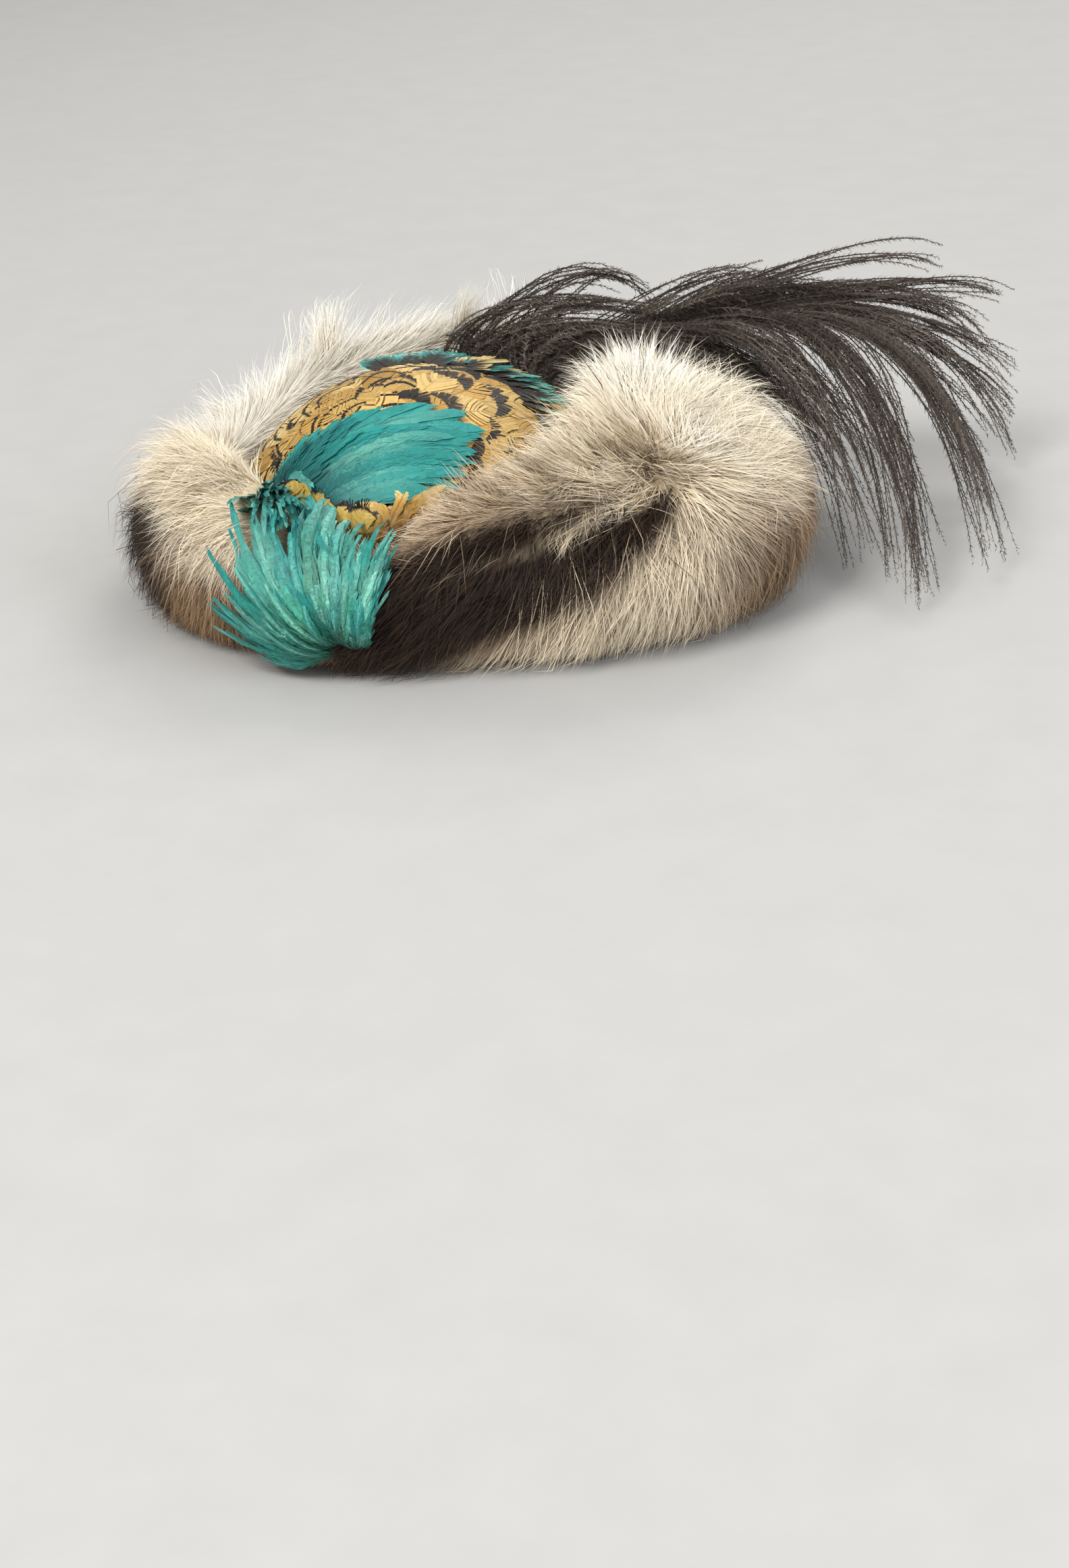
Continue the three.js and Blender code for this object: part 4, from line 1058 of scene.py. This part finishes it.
# %% [markdown]
# The sweep's feathers are dyed, long and trimmed at the end, and flow from the left over the crown. Each row
# of their table is one packed strip, and several feathers lie between each row and the next. A few loose ones
# lie on top, and the fluff at their roots hangs down over the crease between the crown and the fur.

# %% The sweep over the crown
SWEEP_ROWS = np.array([  # root x, root y, tip x, tip y, width
    (-0.58, -0.6, -0.5, -0.47, 0.8), (-0.58, -0.63, -0.34, -0.43, 0.9), (-0.57, -0.65, -0.12, -0.4, 1.0),
    (-0.56, -0.67, 0.12, -0.37, 1.0), (-0.55, -0.69, 0.32, -0.37, 1.0), (-0.52, -0.72, 0.4, -0.45, 1.0),
    (-0.45, -0.75, 0.38, -0.57, 0.9), (-0.34, -0.79, 0.36, -0.69, 1.0),
])
SWEEP_COUNT, LOOSE_COUNT, FLUFF_COUNT = 26, 16, 50
SWEEP_HALF_WIDTH = 6.2 * MM
FLUFF_ROOTS = (-0.64, -0.47), (-0.7, -0.58)  # over the crown, in shares of its half sizes
FLUFF_TIPS = (-118, -102), (56, 90)  # on the roll, bearing and around
CREASE_FACE = (0.1, -0.75, 0.65)  # the way feathers in the crease look


def facing(lean):
    return lambda t: unit(np.tile(CREASE_FACE, (len(t), 1)) + lean)


def between(rows, place):
    """A row part of the way between two rows of a table."""
    low = min(int(place), len(rows) - 2)
    return lerp(rows[low], rows[low + 1], place - low)


def sweep_shaft(ends, lift):
    """A path over the crown from a root to a tip, both in shares of its half sizes."""

    def path(t):
        x = lerp(ends[0], ends[2], t)
        y = lerp(ends[1], ends[3], np.clip(t, 0, 1.1) ** 0.8)
        return dome_point(x, y, CROWN_SKIN + (0.5 + lift * t) * MM)

    return path


def fluff_shaft(dice):
    """A path from under the sweep's root down over the crease to the top of the roll."""
    across = dice.random()
    root = dome_point(lerp(*FLUFF_ROOTS[0], across), dice.uniform(*FLUFF_ROOTS[1]), CROWN_SKIN + 2.5 * MM)
    bearing = lerp(*FLUFF_TIPS[0], across) + dice.normal(0, 2)
    tip = roll_point(bearing, dice.uniform(*FLUFF_TIPS[1]), dice.uniform(1, 4) * MM)
    return bow(root, (root + tip) / 2 + dice.uniform(3, 8) * MM * UP, tip)


def sweep_feathers():
    dice = np.random.default_rng(43)
    parts = []
    for step in np.linspace(0, len(SWEEP_ROWS) - 1, SWEEP_COUNT):
        row = between(SWEEP_ROWS, step) + dice.normal(0, [0.012, 0.012, 0.025, 0.012, 0])
        shaft = sweep_shaft(row, dice.uniform(0.2, 1.3))
        part = feather(shaft, upon_dome(shaft), SWEEP_HALF_WIDTH * row[4], trimmed, 50, 0.4, dice,
                       cup=0.4 * MM, fray=0.08, full=1.5)
        middle = lerp(TEAL, PALE_TEAL, 0.8 * dice.random() ** 2)
        parts.append(dye(part, DEEP_TEAL, middle, TEAL, dice, 0.06, lerp(TEAL, PALE_TEAL, 0.9)))
    for _ in range(LOOSE_COUNT):
        row = between(SWEEP_ROWS, dice.uniform(0, 2.2)) + dice.normal(0, [0.03, 0.03, 0.04, 0.03, 0])
        row[2:4] = lerp(row[:2], row[2:4], dice.uniform(0.6, 1.1))
        shaft = sweep_shaft(row, dice.uniform(1.2, 2.4))
        part = feather(shaft, upon_dome(shaft), dice.uniform(3, 4.5) * MM, pointed, 30, 0.35, dice,
                       fray=0.35, split=0.12, full=0.55)
        middle, outer = lerp(DEEP_TEAL, TEAL, 0.4), lerp(DEEP_TEAL, TEAL, dice.random())
        parts.append(dye(part, DEEP_TEAL, middle, outer, dice, 0.15))
    for _ in range(FLUFF_COUNT):
        shaft = fluff_shaft(dice)
        face, half = facing(dice.normal(0, 0.2, 3)), dice.uniform(1.8, 3.4) * MM
        part = feather(shaft, face, half, pointed, 30, 0.5, dice, fray=0.35, split=0.15, full=0.6)
        middle = lerp(TEAL, PALE_TEAL, 0.3 + 0.7 * dice.random() ** 2)
        parts.append(dye(part, TEAL, middle, TEAL, dice, 0.16, PALE_TEAL))
    return gather(parts)


build("teal_sweep_feathers", sweep_feathers(), dyed, ["teal_sweep"])

# %% [markdown]
# The fan is narrow pointed hackles of the same dye, which spread from one root over the front of the roll.
# Half of them are set evenly between the rows of the table above and half by chance, and they are laid on in
# any order, so that they cross.

# %% The fan over the front
FAN_COUNT, FAN_MIDDLE = 104, 6.5  # the longest hackles are those about the middle row
FAN_BULGE, FAN_TUCK = 2.5, 6  # in mm, off the roll half way along and into it at the root


def fan_hackle(ends, lift, curl):
    """The path of a hackle over the roll and the way its face looks."""

    def place(t):
        t = np.clip(t, 0, 1.1)
        return lerp(ends[0], ends[2], t**1.15) + curl * t * t, lerp(ends[1], ends[3], t)

    def shaft(t):
        bulge = FAN_BULGE * np.sin(np.pi * np.clip(t, 0, 1.1) * 0.9)
        return roll_point(*place(t), (lift + bulge - FAN_TUCK * np.clip(1 - t, 0, 1) ** 3) * MM)

    return shaft, lambda t: roll_frame(*place(t))[0]


def fan_feathers():
    dice = np.random.default_rng(44)
    parts = []
    even = np.linspace(0, len(FAN_HACKLES) - 1, FAN_COUNT // 2)
    loose = dice.uniform(0, 9.6, FAN_COUNT // 2)
    for step in dice.permutation(np.sort(np.concatenate([even, loose]))):
        row = between(FAN_HACKLES, step)
        row[:2] += dice.normal(0, (0.5, 1.5))
        longest = 1.02 + 0.2 * math.exp(-(((step - FAN_MIDDLE) / 2.5) ** 2))
        row[2:] = lerp(row[:2], row[2:], dice.uniform(0.55, longest)) + dice.normal(0, (1.8, 4))
        shaft, face = fan_hackle(row, dice.uniform(0.1, 2.6), dice.normal(0, 1.2))
        part = feather(shaft, face, dice.uniform(1.5, 2.6) * MM, pointed, 44, 0.5, dice, cup=0.2 * MM,
                       fray=0.3, split=0.16, full=0.75)
        pale = dice.random() ** 2
        middle = lerp(lerp(SEA_GREEN, TEAL, dice.random()), PALE_TEAL, 0.5 * pale) * dice.uniform(0.7, 1.1)
        outer = lerp(TEAL, PALE_TEAL, 0.3 * pale)
        parts.append(dye(part, SEA_GREEN * 0.35, middle, outer, dice, 0.16, PALE_TEAL))
    return gather(parts)


build("front_fan_hackles", fan_feathers(), dyed, ["front_fan"])

# %% [markdown]
# In the crease between fan and sweep stand small olive feathers with black tips, and beside them golden
# quills, shaved thin and curled.

# %% Small feathers in the crease
CREASE_AROUND = 98
TIP_SHIFT = 0.24  # moves the dark tip down the vane
TIP_ROWS = {  # bearing of the root, and the tip as shares of the crown's half sizes
    "left": [(-112, -0.46, -0.7), (-111, -0.42, -0.72), (-110, -0.37, -0.74), (-109, -0.3, -0.77),
             (-108, -0.25, -0.78)],
    "right": [(-101, -0.14, -0.81), (-99, -0.1, -0.82), (-97, -0.05, -0.83), (-95, 0.0, -0.83)],
}
CURL_ROWS = [(-91, 0.3, -0.79, 9), (-89, 0.22, -0.83, 5), (-90, 0.14, -0.84, 12)]  # and a rise in mm
CURLS_A_ROW = 7
OLIVE, OLIVE_PALE = paint("#a98f3e"), paint("#cdb56c")


def crease_path(bearing, tip_x, tip_y, rise, over, bend=0.0):
    """A path from the roll's top to the crown that rises between the two and bends away at its tip."""
    root = roll_point(bearing, CREASE_AROUND, -1.2 * MM)
    tip = dome_point(tip_x, tip_y, CROWN_SKIN + over * MM)
    return bow(root, (root + tip) / 2 + rise * MM * UP, tip, bend)


def tip_feathers(side):
    dice = np.random.default_rng(45 + (side == "right"))
    parts = []
    for bearing, tip_x, tip_y in TIP_ROWS[side]:
        for _ in range(2):
            bearing, tip_x = bearing + dice.normal(0, 0.7), tip_x + dice.normal(0, 0.02)
            shaft = crease_path(bearing, tip_x, tip_y, dice.uniform(2, 6), dice.uniform(8.5, 12.5))
            face, half = facing(dice.normal(0, 0.12, 3)), dice.uniform(4.4, 5.8) * MM
            part = feather(shaft, face, half, rounded, 26, 0.3, dice, cup=0.8 * MM, kind=(0, 0, 1))
            part["vane"][:, 1] += TIP_SHIFT
            parts.append(dye(part, OLIVE * 0.5, OLIVE, OLIVE_PALE, dice))
    return gather(parts)


def curled_quills():
    dice = np.random.default_rng(47)
    parts = []
    for bearing, tip_x, tip_y, rise in CURL_ROWS * CURLS_A_ROW:
        place = (bearing + dice.normal(0, 1.5), tip_x + dice.normal(0, 0.06), tip_y + dice.normal(0, 0.03))
        rise = rise * dice.uniform(0.6, 1.4)
        shaft = crease_path(*place, rise, dice.uniform(4, 10), dice.normal(0, 4, 3) * MM)
        face, half = facing(dice.normal(0, 0.3, 3)), dice.uniform(0.8, 1.6) * MM
        part = feather(shaft, face, half, trimmed, 18, 0.6, dice, fray=0.25, split=0.2)
        parts.append(dye(part, AMBER * 0.7, GOLD, STRAW, dice))
    return gather(parts)


build("tip_plumage_left", tip_feathers("left"), marked, ["tip_feathers_left"])
build("tip_plumage_right", tip_feathers("right"), marked, ["tip_feathers_right"])
build("curled_gold_quills", curled_quills(), marked, ["gold_curls"])

# %% [markdown]
# An ostrich feather has flues, not a vane: hundreds of long limp barbs, each with down along both its sides,
# which never hook together. They leave a thick quill that is hidden under them, run along with it, and then
# hang over by their own weight. Neighbours cling to each other, so towards their ends they part into strands.
# Each flue is a thread along a curve. Those of a table of sprays are drawn where the photograph
# shows one by one how they run.

# %% The ostrich plume
PLUME_SIZE = np.array([170, 100, 42]) * MM  # reach, spread and rise
PLUME_ROOT = dome_point(0.56, 0.56, CROWN_SKIN + 3.4 * MM)
QUILL_SHARES = np.array([
    (0, 0, 0), (0.1, 0.08, 0.25), (0.25, 0.17, 0.42), (0.42, 0.25, 0.47), (0.58, 0.32, 0.42),
])
QUILL_STATIONS = PLUME_ROOT + PLUME_SIZE * QUILL_SHARES
FLUE_LOCKS = np.array([  # where it leaves the quill, its tip in shares of the plume's size, and its arch
    (0.04, 0.17, 0.13, 0.84, 0.45), (0.08, 0.41, 0.24, 0.78, 0.25), (0.15, 0.61, 0.33, 0.72, 0.25),
    (0.25, 0.8, 0.41, 0.74, 0.1), (0.4, 0.93, 0.47, 0.5, 0.2), (0.5, 0.97, 0.48, 0.02, 0.3),
    (0.65, 1.0, 0.49, -0.5, 0.42), (0.8, 0.99, 0.4, -0.9, 0.5), (0.9, 0.97, -0.1, -0.93, 0.5),
    (0.75, 0.9, -0.7, -0.93, 0.5), (0.6, 0.8, -0.94, -0.93, 0.45), (0.5, 0.85, -0.4, -0.93, 0.45),
    (0.4, 0.69, -0.62, -0.93, 0.4), (0.25, 0.71, 0.26, -0.93, 0.3), (0.2, 0.63, 0.0, -0.9, 0.25),
    (0.12, 0.56, 0.3, -0.5, 0.25), (0.06, 0.47, 0.26, -0.2, 0.2), (0.03, 0.33, 0.2, 0.1, 0.2),
])
SPRAYS = np.array([  # count, then three places in shares of the plume's size: two that pull and the tip
    (14, -0.06, 0.18, 0.39, 0.15, 0.16, 1.5, 0.23, 0.25, 0.53),
    (12, 0.14, 0.09, 0.01, 0.38, 0.33, 1.3, 0.51, 0.34, 0.65),
    (24, -0.12, 0.06, 0.55, 0.07, 0.14, 0.99, 0.31, 0.2, 0.41),
    (32, -0.02, 0.04, 0.5, 0.16, 0.08, 0.73, 0.34, 0.05, 0.3),
    (48, 0.05, 0.05, 0.35, 0.25, 0.1, 0.7, 0.52, 0.12, 0.3),
    (4, -0.02, 0.05, 0.3, -0.1, 0.08, 0.42, -0.14, 0.1, 0.42),
    (4, -0.04, 0.04, 0.3, -0.14, 0.08, 0.42, -0.22, 0.08, 0.46),
    (4, 0.0, 0.04, 0.3, -0.05, 0.08, 0.5, -0.08, 0.1, 0.6),
])
ROOT_SPREAD = np.array([-0.24, 0.06, 0.2])  # how far back along the crown's edge the sprays begin
STRAND_SPREAD, FLUE_SPREAD = (0.03, 0.03, 0.04, 0.09, 0.1), (0.06, 0.014, 0.02, 0.045, 0.05)
SPRAY_SPREAD = (0.018, 0.018, 0.05)
ONWARD_PULL, HANG_PLACE, ARCH_PULLS = 0.42, 0.3, (0.15, 0.3)  # what bends a flue, in shares of its length
WAVE_RATE, WAVE_SIZE = 4, (1.6, 2.2, 1.4)  # the size in mm
FLUE_ROOM = 1.5 * MM  # over the floor
TIP_ROOM = (-1, -0.96, -0.95), (1.0, 0.5, 1.0)  # the box that the tips keep to
STRANDS, FLUE_STATIONS = 46, 14
PLUME_DARK, PLUME_GREY, PLUME_BROWN = paint("#3b332d"), paint("#857a70"), paint("#54483f")


def along_quill(share):
    """A smooth curve through the quill's stations; share runs from 0 to 1."""
    rows = QUILL_STATIONS
    rows = np.vstack([2 * rows[0] - rows[1], rows, 2 * rows[-1] - rows[-2]])
    place = np.clip(share, 0, 1) * (len(QUILL_STATIONS) - 1)
    at = np.minimum(place.astype(int), len(QUILL_STATIONS) - 2)
    return through(*(rows[at + step] for step in range(4)), (place - at)[:, None])


def scattered(rows, spread, dice):
    return rows + dice.normal(0, 1, rows.shape) * spread


def flue_bends(count, dice):
    """The four places that draw each flue, for those in strands and those of the sprays, and its length."""
    place = np.sort(dice.uniform(0, len(FLUE_LOCKS) - 1, STRANDS))
    at = place.astype(int)
    strands = lerp(FLUE_LOCKS[at], FLUE_LOCKS[at + 1], (place - at)[:, None])
    strands = scattered(strands, STRAND_SPREAD, dice)
    rows = scattered(strands[dice.integers(0, STRANDS, count)], FLUE_SPREAD, dice)
    start = along_quill(rows[:, 0])
    tip = PLUME_ROOT + rows[:, 1:4].clip(*TIP_ROOM) * PLUME_SIZE
    length = np.linalg.norm(tip - start, axis=-1)[:, None]
    onward = unit(along_quill(rows[:, 0] + 0.05) - along_quill(rows[:, 0] - 0.05))
    arch = rows[:, 4:5]
    over = start + onward * length * ONWARD_PULL + UP * arch * length * ARCH_PULLS[0]
    hang = lerp(tip, over, HANG_PLACE) + UP * arch * length * ARCH_PULLS[1]
    sprays = np.repeat(SPRAYS[:, 1:], SPRAYS[:, 0].astype(int), 0).reshape(-1, 3, 3)
    sprays = scattered(sprays, SPRAY_SPREAD, dice)
    begin = dice.random((len(sprays), 1, 1)) * ROOT_SPREAD
    drawn = PLUME_ROOT + np.concatenate([begin, sprays + begin * ((0.7,), (0.3,), (0.0,))], 1) * PLUME_SIZE
    short = np.where(dice.random(count) < 0.5, dice.uniform(0.35, 0.9, count), 1)
    bends = np.concatenate([np.stack([start, over, hang, tip], 1), drawn])
    return bends, np.append(short, dice.uniform(0.8, 1, len(drawn)))


def flue_paths(bends, short, dice):
    """Each flue as a bent curve with a slight wave of its own."""
    t = np.linspace(0, 1, FLUE_STATIONS)[None, :, None] * short[:, None, None]
    start, over, hang, tip = (bends[:, None, i] for i in range(4))
    paths = start * (1 - t) ** 3 + 3 * over * t * (1 - t) ** 2 + 3 * hang * t**2 * (1 - t) + tip * t**3
    phase, rate = dice.uniform(0, 2 * np.pi, (2, len(bends), 1, 3))
    paths = paths + np.sin(t * (WAVE_RATE + rate) + phase) * t * WAVE_SIZE * MM
    paths[..., 2] = np.maximum(paths[..., 2], FLUE_ROOM)
    return paths


print("the quill runs from", QUILL_STATIONS[0].round(3), "to", QUILL_STATIONS[-1].round(3))

# %% [markdown]
# The down is short spikes all round each flue, which lean towards its tip and hang a little. There are more
# of them than of anything else on the plume, so each is a single triangle.

# %% The flues and their down
FLUES = 510
DOWN_STEPS, DOWN_WIDTH, DOWN_LENGTH = 250, 0.36 * MM, (1.7, 3.3)  # the length in mm
DOWN_LEAN, DOWN_HANG = 0.7, 0.12
FLUE_WIDTHS, STEM_WIDTHS, STEM_STATIONS = [0.6, 0.45, 0.1], (3.2, 1), 12  # in mm; the stem is the quill


def down_spikes(paths, base, dice):
    """Short spikes all round each flue, leaning towards its tip."""
    count, stations, _ = paths.shape
    steps = int(DOWN_STEPS * (1))
    heading = heading_of(paths)
    place = (np.arange(steps) + dice.random((count, steps))) / steps * (stations - 1)
    at = np.minimum(place.astype(int), stations - 2)
    rows = np.arange(count)[:, None]
    root = lerp(paths[rows, at], paths[rows, at + 1], (place - at)[..., None])
    ahead = heading[rows, at]
    aside = unit(np.cross(ahead, UP + 0.01))
    spin = dice.uniform(0, 2 * np.pi, (count, steps, 1))
    round_it = aside * np.cos(spin) + np.cross(ahead, aside) * np.sin(spin)
    long = np.interp(place / (stations - 1), [0, 0.1, 0.75, 1], [0.6, 1, 0.9, 0.45])
    long = (long * dice.uniform(*DOWN_LENGTH, (count, steps)) * MM)[..., None]
    lean = ahead * DOWN_LEAN + round_it * DOWN_LEAN - UP * DOWN_HANG
    spikes = np.stack([root, root + lean * long], 2).reshape(-1, 2, 3)
    flat = unit(np.cross(spikes[:, 1] - spikes[:, 0], dice.normal(0, 1, (len(spikes), 3))))
    tint = np.repeat(base, steps, 0) * dice.uniform(0.75, 1.3, (count * steps, 1))
    return strips(spikes, flat, np.full((count * steps, 2), DOWN_WIDTH), np.stack([tint, tint * 1.15], 1))


def ostrich_plume():
    dice = np.random.default_rng(48)
    bends, short = flue_bends(int(FLUES * (1)), dice)
    paths = flue_paths(bends, short, dice)
    count = len(paths)
    shade = dice.random((count, 1))
    base = lerp(PLUME_DARK, lerp(PLUME_BROWN, PLUME_GREY, dice.random((count, 1)) ** 1.5), shade)
    aside = unit(np.cross(np.gradient(paths, axis=1), dice.normal((0.2, -0.9, 0.4), 0.3, (count, 1, 3))))
    width = np.interp(np.linspace(0, 1, FLUE_STATIONS), [0, 0.7, 1], FLUE_WIDTHS) * MM
    inner = np.repeat(base[:, None] * 0.7, FLUE_STATIONS, 1)
    threads = strips(paths, aside, np.tile(width, (count, 1)), inner)
    line = along_quill(np.linspace(0, 1, STEM_STATIONS))[None]
    stem = strips(line, np.cross(heading_of(line), UP), np.linspace(*STEM_WIDTHS, STEM_STATIONS)[None] * MM,
                  np.tile(PLUME_BROWN, (1, STEM_STATIONS, 1)))
    return gather([stem, threads, down_spikes(paths, base, dice)])


def plume_finish():
    finish = Finish("ostrich_flues", Roughness=0.7, Specular_IOR_Level=0.25, Sheen_Weight=0.08)
    streak = finish.noise(finish.place(), 700.0, 2.0)
    tint = finish.attribute("tint", "Color")
    return finish.set("Base Color", finish.mix(streak * 0.35, tint, paint("#15110f")))


build("ostrich_plume_flues", ostrich_plume(), plume_finish(), ["ostrich_plume"])
